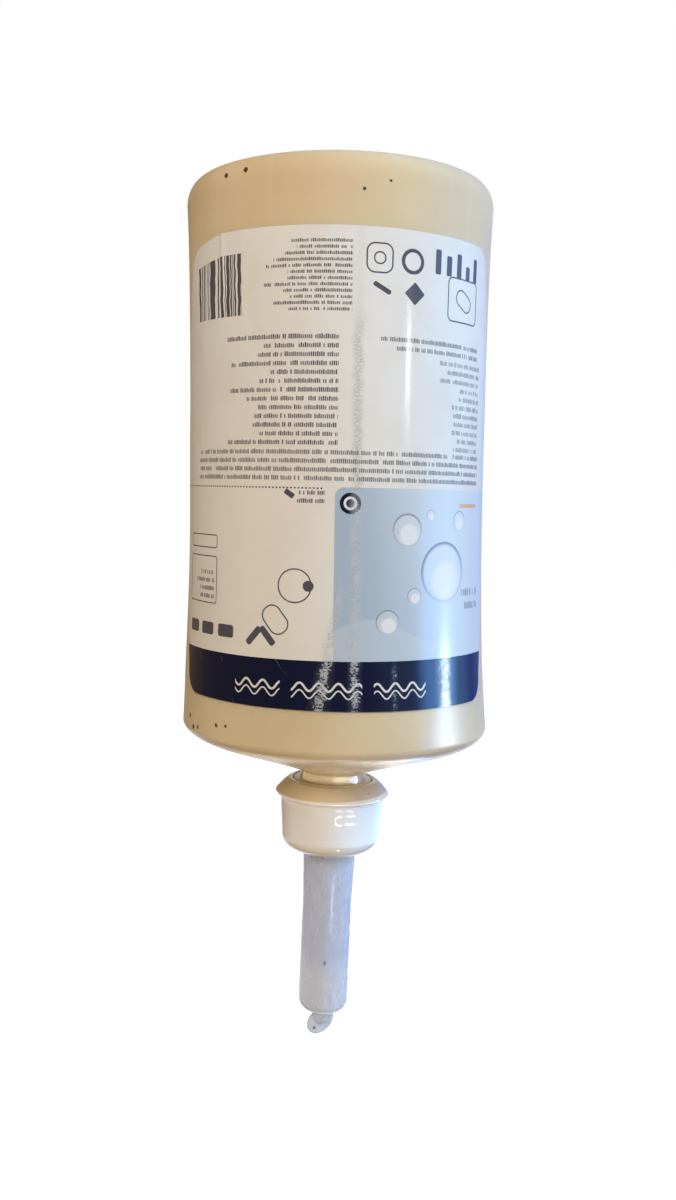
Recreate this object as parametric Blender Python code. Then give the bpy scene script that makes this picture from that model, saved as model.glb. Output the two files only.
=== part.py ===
"""Liquid soap refill: a round blown bottle that hangs neck down, with a film label, a white
push-on collar and a clear squeeze pump with a twist-off tip.

Metres, +Z up, in the position of use: base at the top, pump at the bottom. The origin lies on
the pump's axis, in the plane of the collar brim's underside, where the holder carries the pack.
The neck of the blown bottle came out a little crooked, so the pump's axis leans from the
vertical, and the bottle's body stands upright above it.

Profiles are lists of (radius, height) that run clockwise as seen with the axis on the left.
"""

import math

import bmesh
import bpy
from mathutils import Matrix, Vector

# Gap between pieces that touch
SEAT_GAP = 0.0003

# Lean of the neck and pump, the height at which their axis meets the body's axis, and the
# height on the side wall from which the bottle follows it
PUMP_LEAN = math.radians(1.7)
LEAN_PIVOT = 0.0040
LEAN_START = 0.0460

# Bottle body, heights above the brim's underside
BODY_RADIUS = 0.0450
BODY_WAIST_HEIGHT = 0.1080
BODY_TOP_FLARE = 0.0013
BODY_FOOT_FLARE = 0.0024
BODY_FOOT_FLARE_POWER = 2.5
BASE_HEIGHT = 0.1856
BASE_CORNER_RADIAL = 0.0043
BASE_CORNER_AXIAL = 0.0063
BASE_RING_WIDTH = 0.0045
PUSH_UP_DEPTH = 0.0035
SHOULDER_HEIGHT = 0.0237
SHOULDER_CORNER_RADIAL = 0.0306
SHOULDER_CORNER_AXIAL = 0.0088
SHOULDER_SLOPE = math.radians(18.5)

# Bottle neck, with the ring that fills the collar's mouth and the finish inside the collar
NECK_RADIUS = 0.0103
NECK_FILLET = 0.0010
NECK_RING_RADIUS = 0.0123
NECK_GROOVE_RADIUS = 0.0115
NECK_RING_THICKNESS = 0.0016
FINISH_RADIUS = 0.0134
FINISH_CHAMFER = 0.0010

# Label
LABEL_THICKNESS = 0.0004
LABEL_FOOT_HEIGHT = 0.0349
LABEL_TOP_HEIGHT = 0.1653
LABEL_HALF_ARC = math.radians(68.5)
LABEL_SIDE_BOW = math.radians(8.0)
LABEL_CORNER = 0.0070
LABEL_SKEW = -0.0091

# Collar
BRIM_RADIUS = 0.0179
BRIM_EDGE = 0.0011
BRIM_RISE = 0.0036
BRIM_CROWN = 0.0004
MOUTH_LIP_WIDTH = 0.0012
CUP_TOP_RADIUS = 0.0166
CUP_FOOT_RADIUS = 0.0157
CUP_DEPTH = 0.0177
CUP_CORNER = 0.0052
CUP_FLOOR = 0.0018
CUP_BORE_CHAMFER = 0.0014
LIP_DEPTH = 0.0034

# Pump sleeve
SLEEVE_TOP_RADIUS = 0.0085
SLEEVE_RADIUS = 0.0079
SLEEVE_TAPER_FOOT = -0.0340
SLEEVE_END = -0.0713
SLEEVE_CORNER = 0.0040
SLEEVE_WALL = 0.0008
SLEEVE_FLANGE_RADIUS = 0.0119
SLEEVE_FLANGE = 0.0010
NIB_RADIUS = 0.0026
NIB_LENGTH = 0.0046
NIB_ROUNDING = 0.0009
TAB_WIDTH = 0.0076
TAB_LENGTH = 0.0099
TAB_THICKNESS = 0.0018
TAB_OVERHANG = 0.0045
TAB_SHIFT = 0.0006
TAB_TURN = math.radians(15.0)
TAB_TILT = math.radians(42.0)

# Pump valve, one moulding inside the sleeve
VALVE_FLANGE_RADIUS = 0.0104
VALVE_FLANGE = 0.0011
VALVE_CUP_CLEARANCE = 0.0004
VALVE_CUP_WALL = 0.0012
VALVE_CUP_FOOT = -0.0300
VALVE_CUP_WEB = 0.0020
VALVE_STEM_RADIUS = 0.0013
VALVE_RIB_RADIUS = 0.0020
VALVE_RIB_WIDTH = 0.0012
VALVE_RIB_PITCH = 0.0075
OUTLET_RADIUS = 0.0045
OUTLET_CONE_HEIGHT = 0.0040
OUTLET_HEIGHT = 0.0125
OUTLET_FOOT_CHAMFER = 0.0016

# Facets
BOTTLE_SIDES = 64
COLLAR_SIDES = 56
SLEEVE_SIDES = 40
VALVE_SIDES = 24
LABEL_COLUMNS = 36
LABEL_ROWS = 7
SHARP_EDGE = math.radians(32)

# Heights that follow from the stack inside the collar: floor, sleeve, valve, bottle finish
BRIM_TOP = BRIM_EDGE + BRIM_RISE
LIP_UNDERSIDE = BRIM_TOP - LIP_DEPTH
FLOOR_TOP = CUP_FLOOR - CUP_DEPTH
SLEEVE_FLANGE_FOOT = FLOOR_TOP + SEAT_GAP
SLEEVE_FLANGE_TOP = SLEEVE_FLANGE_FOOT + SLEEVE_FLANGE
VALVE_FLANGE_FOOT = SLEEVE_FLANGE_TOP + SEAT_GAP
VALVE_FLANGE_TOP = VALVE_FLANGE_FOOT + VALVE_FLANGE
FINISH_FOOT = VALVE_FLANGE_TOP + SEAT_GAP
FINISH_TOP = LIP_UNDERSIDE - SEAT_GAP
MOUTH_RADIUS = NECK_RING_RADIUS + SEAT_GAP
CUP_BORE_RADIUS = FINISH_RADIUS + SEAT_GAP


def arc(centre, radii, start, end, steps):
    """Points of an elliptical arc about (radius, height), from one angle to the other, in degrees."""
    points = []
    for step in range(steps + 1):
        angle = math.radians(start + (end - start) * step / steps)
        points.append((centre[0] + radii[0] * math.cos(angle), centre[1] + radii[1] * math.sin(angle)))
    return points


def finish_mesh(name, bm, material):
    """Make an object of the bmesh, shaded smooth apart from its sharp edges."""
    bmesh.ops.recalc_face_normals(bm, faces=bm.faces)
    mesh = bpy.data.meshes.new(name)
    bm.to_mesh(mesh)
    bm.free()
    mesh.shade_smooth()
    mesh.set_sharp_from_angle(angle=SHARP_EDGE)
    mesh.materials.append(material)
    obj = bpy.data.objects.new(name, mesh)
    bpy.context.scene.collection.objects.link(obj)
    return obj


def turned(profile, sides):
    """Spin a profile about Z. An open profile starts and ends on the axis, a closed one stays off it."""
    bm = bmesh.new()
    verts = [bm.verts.new((radius, 0, height)) for radius, height in profile]
    edges = [bm.edges.new(pair) for pair in zip(verts, verts[1:])]
    if profile[0][0] > 0:
        edges.append(bm.edges.new((verts[-1], verts[0])))
    bmesh.ops.spin(
        bm,
        geom=verts + edges,
        cent=(0, 0, 0),
        axis=(0, 0, 1),
        angle=math.tau,
        steps=sides,
        use_merge=True,
    )
    bmesh.ops.remove_doubles(bm, verts=bm.verts, dist=1e-6)
    return bm


def plastic(name, color, roughness, alpha=1.0, transmission=0.0):
    """A plastic's material."""
    material = bpy.data.materials.new(name)
    material.use_nodes = True
    shader = material.node_tree.nodes["Principled BSDF"]
    shader.inputs["Base Color"].default_value = (*color, 1)
    shader.inputs["Roughness"].default_value = roughness
    shader.inputs["Metallic"].default_value = 0
    shader.inputs["Transmission Weight"].default_value = transmission
    shader.inputs["Alpha"].default_value = alpha
    material.diffuse_color = (*color, alpha)
    return material


# Bottle


def body_radius(height):
    """Radius of the bottle's side wall, which narrows a little to its waist."""
    rise = height - BODY_WAIST_HEIGHT
    if rise > 0:
        return BODY_RADIUS + BODY_TOP_FLARE * (rise / (BASE_HEIGHT - BODY_WAIST_HEIGHT)) ** 2
    drop = min(-rise / (BODY_WAIST_HEIGHT - SHOULDER_HEIGHT), 1)
    return BODY_RADIUS + BODY_FOOT_FLARE * drop**BODY_FOOT_FLARE_POWER


def lean_share(height):
    """How far a ring of the bottle follows the pump's axis: 0 on the body, 1 in the collar."""
    share = (LEAN_START - height) / (LEAN_START - BRIM_TOP)
    share = min(max(share, 0), 1)
    return share * share * (3 - 2 * share)


def lean_matrix():
    """The pump's frame: a turn about Y at the origin."""
    return Matrix.Rotation(PUMP_LEAN, 4, "Y")


def stand(point):
    """Move a point of the straight bottle to its place: upright body, leaning neck."""
    leaning = lean_matrix() @ point
    upright = point + (lean_matrix() @ Vector((0, 0, LEAN_PIVOT)) - Vector((0, 0, LEAN_PIVOT)))
    return upright.lerp(leaning, lean_share(point.z))


def bottle_profile():
    """Base at the top, down the outside to the flat end of the finish."""
    rim_height = BASE_HEIGHT - BASE_CORNER_AXIAL
    rim_radius = body_radius(rim_height) - BASE_CORNER_RADIAL
    ring_inner = rim_radius - BASE_RING_WIDTH
    push_up = [(ring_inner * step / 5, BASE_HEIGHT - PUSH_UP_DEPTH * (1 - (step / 5) ** 3)) for step in range(5)]
    profile = push_up + [(ring_inner, BASE_HEIGHT)]
    profile += arc((rim_radius, rim_height), (BASE_CORNER_RADIAL, BASE_CORNER_AXIAL), 90, 0, 6)

    wall_rows = 10
    for row in range(1, wall_rows):
        height = rim_height + (SHOULDER_HEIGHT - rim_height) * row / wall_rows
        profile.append((body_radius(height), height))

    corner_centre = (body_radius(SHOULDER_HEIGHT) - SHOULDER_CORNER_RADIAL, SHOULDER_HEIGHT)
    corner_size = (SHOULDER_CORNER_RADIAL, SHOULDER_CORNER_AXIAL)
    corner_end = math.atan(SHOULDER_CORNER_AXIAL / (SHOULDER_CORNER_RADIAL * math.tan(SHOULDER_SLOPE)))
    profile += arc(corner_centre, corner_size, 0, -math.degrees(corner_end), 8)

    cone_drop = (profile[-1][0] - NECK_RADIUS - NECK_FILLET) * math.tan(SHOULDER_SLOPE)
    fillet_centre = (NECK_RADIUS + NECK_FILLET, profile[-1][1] - cone_drop - NECK_FILLET)
    slope_normal = 90 + math.degrees(SHOULDER_SLOPE)
    profile += arc(fillet_centre, (NECK_FILLET, NECK_FILLET), slope_normal, 180, 3)
    profile += [
        (NECK_RADIUS, BRIM_TOP),
        (NECK_RING_RADIUS, BRIM_TOP),
        (NECK_RING_RADIUS, BRIM_TOP - NECK_RING_THICKNESS),
        (NECK_GROOVE_RADIUS, BRIM_TOP - NECK_RING_THICKNESS),
        (NECK_GROOVE_RADIUS, FINISH_TOP),
        (FINISH_RADIUS, FINISH_TOP),
        (FINISH_RADIUS, FINISH_FOOT + FINISH_CHAMFER),
        (FINISH_RADIUS - FINISH_CHAMFER, FINISH_FOOT),
        (0, FINISH_FOOT),
    ]
    return profile


def make_bottle():
    """The blown bottle, filled and sealed, as one solid."""
    cream = plastic("cream_bottle", (0.72, 0.60, 0.41), 0.38)
    bm = turned(bottle_profile(), BOTTLE_SIDES)
    for vert in bm.verts:
        vert.co = stand(vert.co)
    return finish_mesh("bottle", bm, cream)


# Label


def label_outline():
    """The label laid flat, as (arc, height) from its middle: round corners and sides that bow outwards."""
    half_height = (LABEL_TOP_HEIGHT - LABEL_FOOT_HEIGHT) / 2
    half_width = LABEL_HALF_ARC * BODY_RADIUS
    bow = LABEL_SIDE_BOW * BODY_RADIUS
    corner_size = (LABEL_CORNER, LABEL_CORNER)
    inset = (half_width - LABEL_CORNER, half_height - LABEL_CORNER)
    side = []
    for step in range(1, 8):
        height = inset[1] * (2 * step / 8 - 1)
        side.append((half_width + bow * (1 - (height / inset[1]) ** 2), height))
    right = arc((inset[0], -inset[1]), corner_size, -90, 0, 5) + side + arc(inset, corner_size, 0, 90, 5)
    left = [(-across, -height) for across, height in right]
    return right + left


def wrap_label(point):
    """Wrap a point (arc, height, depth) of the flat label round the bottle's front."""
    middle = (LABEL_TOP_HEIGHT + LABEL_FOOT_HEIGHT) / 2
    height = middle + point.y + LABEL_SKEW * point.x
    angle = point.x / BODY_RADIUS
    radius = body_radius(height) + SEAT_GAP + point.z
    return stand(Vector((radius * math.sin(angle), -radius * math.cos(angle), height)))


def cut_across(bm, axis, first, last, count):
    """Cut a flat sheet by evenly spaced lines, so that it can bend."""
    normal = Vector((axis == 0, axis == 1, 0))
    for line in range(1, count):
        place = normal * (first + (last - first) * line / count)
        geometry = bm.verts[:] + bm.edges[:] + bm.faces[:]
        bmesh.ops.bisect_plane(bm, geom=geometry, plane_co=place, plane_no=normal)


def make_label():
    """The printed film label, one thin curved sheet."""
    film = plastic("label_film", (0.80, 0.78, 0.72), 0.3)
    outline = label_outline()
    bm = bmesh.new()
    bm.faces.new([bm.verts.new((across, height, 0)) for across, height in outline])
    reach = max(across for across, _ in outline)
    half_height = max(height for _, height in outline)
    cut_across(bm, 0, -reach, reach, LABEL_COLUMNS)
    cut_across(bm, 1, -half_height, half_height, LABEL_ROWS)
    extruded = bmesh.ops.extrude_face_region(bm, geom=bm.faces[:])
    for item in extruded["geom"]:
        if isinstance(item, bmesh.types.BMVert):
            item.co.z = LABEL_THICKNESS
    for vert in bm.verts:
        vert.co = wrap_label(vert.co)
    return finish_mesh("label", bm, film)


# Collar


def brim_slope(start, end):
    """Points between the mouth's lip and the brim's edge, on a slope that is slightly domed."""
    steps = 4
    points = []
    for step in range(1, steps):
        share = step / steps
        radius = start[0] + (end[0] - start[0]) * share
        height = start[1] + (end[1] - start[1]) * share
        points.append((radius, height + BRIM_CROWN * 4 * share * (1 - share)))
    return points


def collar_profile():
    """From the mouth's lip, over the brim, down the cup and back up its bore."""
    edge_radius = BRIM_EDGE / 2
    brim_centre = (BRIM_RADIUS - edge_radius, edge_radius)
    cup_centre = (CUP_FOOT_RADIUS - CUP_CORNER, CUP_CORNER - CUP_DEPTH)
    hole_radius = SLEEVE_TOP_RADIUS + SEAT_GAP
    profile = [(MOUTH_RADIUS, BRIM_TOP), (MOUTH_RADIUS + MOUTH_LIP_WIDTH, BRIM_TOP)]
    brim_edge = arc(brim_centre, (edge_radius, edge_radius), 60, -90, 6)
    profile += brim_slope(profile[-1], brim_edge[0]) + brim_edge
    profile += [(CUP_TOP_RADIUS, 0)]
    profile += arc(cup_centre, (CUP_CORNER, CUP_CORNER), 0, -90, 8)
    profile += [
        (hole_radius, -CUP_DEPTH),
        (hole_radius, FLOOR_TOP),
        (CUP_BORE_RADIUS - CUP_BORE_CHAMFER, FLOOR_TOP),
        (CUP_BORE_RADIUS, FLOOR_TOP + CUP_BORE_CHAMFER),
        (CUP_BORE_RADIUS, LIP_UNDERSIDE),
        (MOUTH_RADIUS, LIP_UNDERSIDE),
    ]
    return profile


def make_collar(pump):
    """The white collar that snaps over the finish and carries the pack."""
    white = plastic("white_collar", (0.86, 0.86, 0.86), 0.14)
    collar = finish_mesh("collar", turned(collar_profile(), COLLAR_SIDES), white)
    collar.parent = pump
    return collar


# Pump sleeve


def sleeve_bore(height):
    """Radius of the sleeve's bore at a height."""
    share = (height - SLEEVE_TAPER_FOOT) / (-CUP_DEPTH - SLEEVE_TAPER_FOOT)
    share = min(max(share, 0), 1)
    return SLEEVE_RADIUS + (SLEEVE_TOP_RADIUS - SLEEVE_RADIUS) * share - SLEEVE_WALL


def sleeve_profile():
    """From the axis at the closed end, up the outside, over the flange and down the bore."""
    outer_centre = (SLEEVE_RADIUS - SLEEVE_CORNER, SLEEVE_END + SLEEVE_CORNER)
    outer_corner = (SLEEVE_CORNER, SLEEVE_CORNER)
    inner_corner = (SLEEVE_CORNER - SLEEVE_WALL, SLEEVE_CORNER - SLEEVE_WALL)
    bore_top = SLEEVE_TOP_RADIUS - SLEEVE_WALL
    profile = [(0, SLEEVE_END)]
    profile += arc(outer_centre, outer_corner, -90, 0, 7)
    profile += [
        (SLEEVE_RADIUS, SLEEVE_TAPER_FOOT),
        (SLEEVE_TOP_RADIUS, -CUP_DEPTH),
        (SLEEVE_TOP_RADIUS, SLEEVE_FLANGE_FOOT),
        (SLEEVE_FLANGE_RADIUS, SLEEVE_FLANGE_FOOT),
        (SLEEVE_FLANGE_RADIUS, SLEEVE_FLANGE_TOP),
        (bore_top, SLEEVE_FLANGE_TOP),
        (bore_top, -CUP_DEPTH),
        (SLEEVE_RADIUS - SLEEVE_WALL, SLEEVE_TAPER_FOOT),
    ]
    profile += arc(outer_centre, inner_corner, 0, -90, 6)
    profile += [(0, SLEEVE_END + SLEEVE_WALL)]
    return profile


def nib_profile():
    """The outlet nib, round at its end, rooted in the sleeve's closed end."""
    foot = SLEEVE_END - NIB_LENGTH
    profile = [(0, SLEEVE_END + SLEEVE_WALL / 2), (NIB_RADIUS, SLEEVE_END + SLEEVE_WALL / 2)]
    profile += arc((NIB_RADIUS - NIB_ROUNDING, foot + NIB_ROUNDING), (NIB_ROUNDING, NIB_ROUNDING), 0, -90, 4)
    profile += [(0, foot)]
    return profile


def tab_mesh():
    """The flat oval tab that is twisted off, turned and tilted on the nib's end."""
    centre_height = SLEEVE_END - NIB_LENGTH - TAB_OVERHANG + TAB_LENGTH / 2
    bm = bmesh.new()
    bmesh.ops.create_uvsphere(bm, u_segments=20, v_segments=12, radius=0.5)
    place = (
        Matrix.Translation((-TAB_SHIFT, 0, centre_height))
        @ Matrix.Rotation(TAB_TURN, 4, "Z")
        @ Matrix.Rotation(TAB_TILT, 4, "Y")
        @ Matrix.Diagonal((TAB_WIDTH, TAB_THICKNESS, TAB_LENGTH, 1))
    )
    bmesh.ops.transform(bm, matrix=place, verts=bm.verts)
    return bm


def join_to(body, addition, name):
    """Join another closed shape to the body, and keep it only as a hidden helper."""
    addition.hide_render = True
    addition.display_type = "WIRE"
    union = body.modifiers.new(name, "BOOLEAN")
    union.operation = "UNION"
    union.solver = "EXACT"
    union.object = addition


def make_sleeve(pump):
    """The clear flexible tube that is squeezed, with its nib and tab in one moulding."""
    clear = plastic("clear_sleeve", (0.62, 0.62, 0.72), 0.25, alpha=0.45, transmission=0.6)
    sleeve = finish_mesh("pump_sleeve", turned(sleeve_profile(), SLEEVE_SIDES), clear)
    nib = finish_mesh("nib_shape", turned(nib_profile(), SLEEVE_SIDES // 2), clear)
    tab = finish_mesh("tab_shape", tab_mesh(), clear)
    for piece in (sleeve, nib, tab):
        piece.parent = pump
    join_to(sleeve, nib, "nib")
    join_to(sleeve, tab, "tab")
    return sleeve


# Pump valve


def valve_profile():
    """From the axis at the top, out over the flange, down the inlet cup, stem and outlet valve."""
    cup_radius = sleeve_bore(VALVE_CUP_FOOT) - VALVE_CUP_CLEARANCE
    outlet_foot = SLEEVE_END + SLEEVE_WALL + SEAT_GAP
    outlet_top = outlet_foot + OUTLET_HEIGHT
    profile = [
        (0, VALVE_FLANGE_TOP),
        (VALVE_FLANGE_RADIUS, VALVE_FLANGE_TOP),
        (VALVE_FLANGE_RADIUS, VALVE_FLANGE_FOOT),
        (cup_radius, VALVE_FLANGE_FOOT),
        (cup_radius, VALVE_CUP_FOOT),
        (cup_radius - VALVE_CUP_WALL, VALVE_CUP_FOOT),
        (cup_radius - VALVE_CUP_WALL, VALVE_FLANGE_FOOT - VALVE_CUP_WEB),
        (VALVE_STEM_RADIUS, VALVE_FLANGE_FOOT - VALVE_CUP_WEB),
    ]
    rib = VALVE_CUP_FOOT - VALVE_RIB_PITCH / 2
    while rib - VALVE_RIB_WIDTH > outlet_top + VALVE_RIB_PITCH / 2:
        profile += [
            (VALVE_STEM_RADIUS, rib),
            (VALVE_RIB_RADIUS, rib),
            (VALVE_RIB_RADIUS, rib - VALVE_RIB_WIDTH),
            (VALVE_STEM_RADIUS, rib - VALVE_RIB_WIDTH),
        ]
        rib -= VALVE_RIB_PITCH
    profile += [
        (VALVE_STEM_RADIUS, outlet_top),
        (OUTLET_RADIUS, outlet_top - OUTLET_CONE_HEIGHT),
        (OUTLET_RADIUS, outlet_foot + OUTLET_FOOT_CHAMFER),
        (OUTLET_RADIUS - OUTLET_FOOT_CHAMFER, outlet_foot),
        (0, outlet_foot),
    ]
    return profile


def make_valve(pump):
    """The inlet cup, stem and outlet valve, one moulding held between finish and sleeve."""
    natural = plastic("natural_valve", (0.75, 0.75, 0.78), 0.4)
    valve = finish_mesh("pump_valve", turned(valve_profile(), VALVE_SIDES), natural)
    valve.parent = pump
    return valve


def clear_scene():
    """Remove what the scene holds."""
    for obj in list(bpy.data.objects):
        bpy.data.objects.remove(obj, do_unlink=True)


def main():
    """Model the refill."""
    clear_scene()
    pump = bpy.data.objects.new("pump_axis", None)
    pump.rotation_euler = (0, PUMP_LEAN, 0)
    bpy.context.scene.collection.objects.link(pump)
    make_bottle()
    make_label()
    make_collar(pump)
    make_sleeve(pump)
    make_valve(pump)


main()
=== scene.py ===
"""Looks of a liquid soap refill: a blown bottle that hangs neck down, with a printed film
label, a white collar and a hazy squeeze pump with a twist-off tip.

Metres, +Z up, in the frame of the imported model: the origin lies on the pump's axis, in the
plane of the collar brim's underside. The pump's axis leans a little from the bottle's. Each
piece is a finer model of the solid that it stands for, turned or bent from the same sizes.
"""

import logging
import math
from dataclasses import dataclass, field
from enum import Enum
from typing import Iterable, Union

import bpy
from mathutils import Matrix, Vector, noise


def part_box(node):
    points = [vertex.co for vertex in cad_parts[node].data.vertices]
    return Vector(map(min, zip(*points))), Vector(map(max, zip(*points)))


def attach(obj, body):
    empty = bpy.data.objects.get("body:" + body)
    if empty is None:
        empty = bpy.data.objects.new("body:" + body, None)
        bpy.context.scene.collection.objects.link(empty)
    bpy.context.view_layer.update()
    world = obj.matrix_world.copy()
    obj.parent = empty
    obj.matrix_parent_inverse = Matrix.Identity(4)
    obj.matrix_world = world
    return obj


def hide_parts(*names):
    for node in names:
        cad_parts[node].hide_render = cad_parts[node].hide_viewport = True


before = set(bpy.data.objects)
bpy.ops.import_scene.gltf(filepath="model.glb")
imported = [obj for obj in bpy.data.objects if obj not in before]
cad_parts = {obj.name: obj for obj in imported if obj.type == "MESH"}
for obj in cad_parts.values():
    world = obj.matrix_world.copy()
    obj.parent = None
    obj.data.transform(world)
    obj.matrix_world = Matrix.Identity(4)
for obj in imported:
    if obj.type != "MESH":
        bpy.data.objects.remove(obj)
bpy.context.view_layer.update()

ROOT = "root"
LOG = logging.getLogger("refill")

Thing = bpy.types.Object
Material = bpy.types.Material
Socket = bpy.types.NodeSocket
Feed = Union[float, tuple, Socket]
Colour = tuple[float, float, float]
Place = tuple[float, float, float]
Point = tuple[float, float]
Speck = tuple[Union[Vector, Place], float]

MM = 0.001
WELD = 1e-6
WHITE = (1.0, 1.0, 1.0)
CORNERS = ((-1, -1), (1, -1), (1, 1), (-1, 1))


class Slot(Enum):
    """The record's material slots."""

    BOTTLE = "bottle_plastic"
    LABEL = "label_film"
    COLLAR = "collar_plastic"
    SLEEVE = "sleeve_plastic"
    VALVE = "valve_plastic"


# Modelling


class Bench:
    """The few hand moves that every piece is made with, over Blender's own operators."""

    @staticmethod
    def take(piece: Thing | None) -> None:
        """Select one piece alone, or nothing.

        Args:
            piece: The piece to select and make active, or None to deselect everything.
        """
        if bpy.context.object and bpy.context.object.mode != "OBJECT":
            bpy.ops.object.mode_set(mode="OBJECT")
        bpy.ops.object.select_all(action="DESELECT")
        if piece:
            piece.select_set(True)
            bpy.context.view_layer.objects.active = piece

    @staticmethod
    def turned(name: str, profile: list[Point], sides: int) -> Thing:
        """Draw a profile by extruding one vertex along it, and spin it about Z as on a lathe.

        Args:
            name: Name of the piece.
            profile: Points as (radius, height). It ends on the axis, or where it started.
            sides: Steps of the spin.

        Returns:
            The closed piece, with its normals outward.
        """
        Bench.take(None)
        bpy.ops.mesh.primitive_plane_add(size=MM, location=(0, 0, 0))
        piece = bpy.context.object
        piece.name = piece.data.name = name
        bpy.ops.object.mode_set(mode="EDIT")
        bpy.ops.mesh.select_all(action="SELECT")
        bpy.ops.mesh.merge(type="CENTER")
        bpy.ops.transform.translate(value=(profile[0][0], 0, profile[0][1]))
        for (radius, height), (next_radius, next_height) in zip(profile, profile[1:]):
            step = (next_radius - radius, 0, next_height - height)
            bpy.ops.mesh.extrude_vertices_move(TRANSFORM_OT_translate={"value": step})
        bpy.ops.mesh.select_all(action="SELECT")
        bpy.ops.mesh.spin(steps=sides, angle=math.tau, center=(0, 0, 0), axis=(0, 0, 1))
        bpy.ops.mesh.select_all(action="SELECT")
        bpy.ops.mesh.remove_doubles(threshold=WELD)
        bpy.ops.mesh.normals_make_consistent(inside=False)
        bpy.ops.object.mode_set(mode="OBJECT")
        return piece

    @staticmethod
    def apply(piece: Thing, name: str, kind: str, **settings) -> None:
        """Add a modifier and apply it.

        Args:
            piece: The piece to change.
            name: Name of the modifier.
            kind: Blender's type of modifier.
            settings: Its settings.
        """
        Bench.take(piece)
        modifier = piece.modifiers.new(name, kind)
        for key, value in settings.items():
            setattr(modifier, key, value)
        bpy.ops.object.modifier_apply(modifier=name)

    @staticmethod
    def soften(piece: Thing, width: float, segments: int, angle: float) -> None:
        """Round the edges that are sharper than an angle.

        Args:
            piece: The piece to change.
            width: Width of the rounding.
            segments: How many faces lie across it.
            angle: Edges flatter than this stay as they are.
        """
        Bench.apply(
            piece, "soft_edges", "BEVEL", width=width, segments=segments, limit_method="ANGLE",
            angle_limit=angle, use_clamp_overlap=True, harden_normals=False,
        )

    @staticmethod
    def unite(piece: Thing, addition: Thing) -> None:
        """Join another closed shape to the piece, and drop it."""
        Bench.apply(piece, "union", "BOOLEAN", operation="UNION", solver="EXACT", object=addition)
        bpy.data.objects.remove(addition)

    @staticmethod
    def tilt(piece: Thing, angle: float) -> None:
        """Turn a finished piece about the Y axis at the origin, and apply the turn.

        Args:
            piece: The piece to turn.
            angle: The angle in radians.
        """
        Bench.take(piece)
        piece.rotation_euler.y = angle
        bpy.ops.object.transform_apply(location=True, rotation=True, scale=True)

    @staticmethod
    def smooth(piece: Thing, angle: float) -> None:
        """Shade smooth, apart from edges sharper than the angle."""
        Bench.take(piece)
        bpy.ops.object.shade_smooth_by_angle(angle=angle)


def arc(centre: Point, radii: Point, start: float, end: float, steps: int) -> list[Point]:
    """Points of an elliptical arc.

    Args:
        centre: Centre as (radius, height).
        radii: Half widths along radius and height.
        start: First angle in degrees.
        end: Last angle in degrees.
        steps: How many chords.

    Returns:
        The points, both ends included.
    """
    points = []
    for step in range(steps + 1):
        angle = math.radians(start + (end - start) * step / steps)
        points.append((centre[0] + radii[0] * math.cos(angle), centre[1] + radii[1] * math.sin(angle)))
    return points


def ease(value: float, low: float, high: float) -> float:
    """A smooth step from 0 at low to 1 at high."""
    share = min(max((value - low) / (high - low), 0), 1)
    return share * share * (3 - 2 * share)


def hump(value: float, middle: float, width: float) -> float:
    """A round bump of height 1 about the middle."""
    return math.exp(-(((value - middle) / width) ** 2))


# Shading


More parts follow.
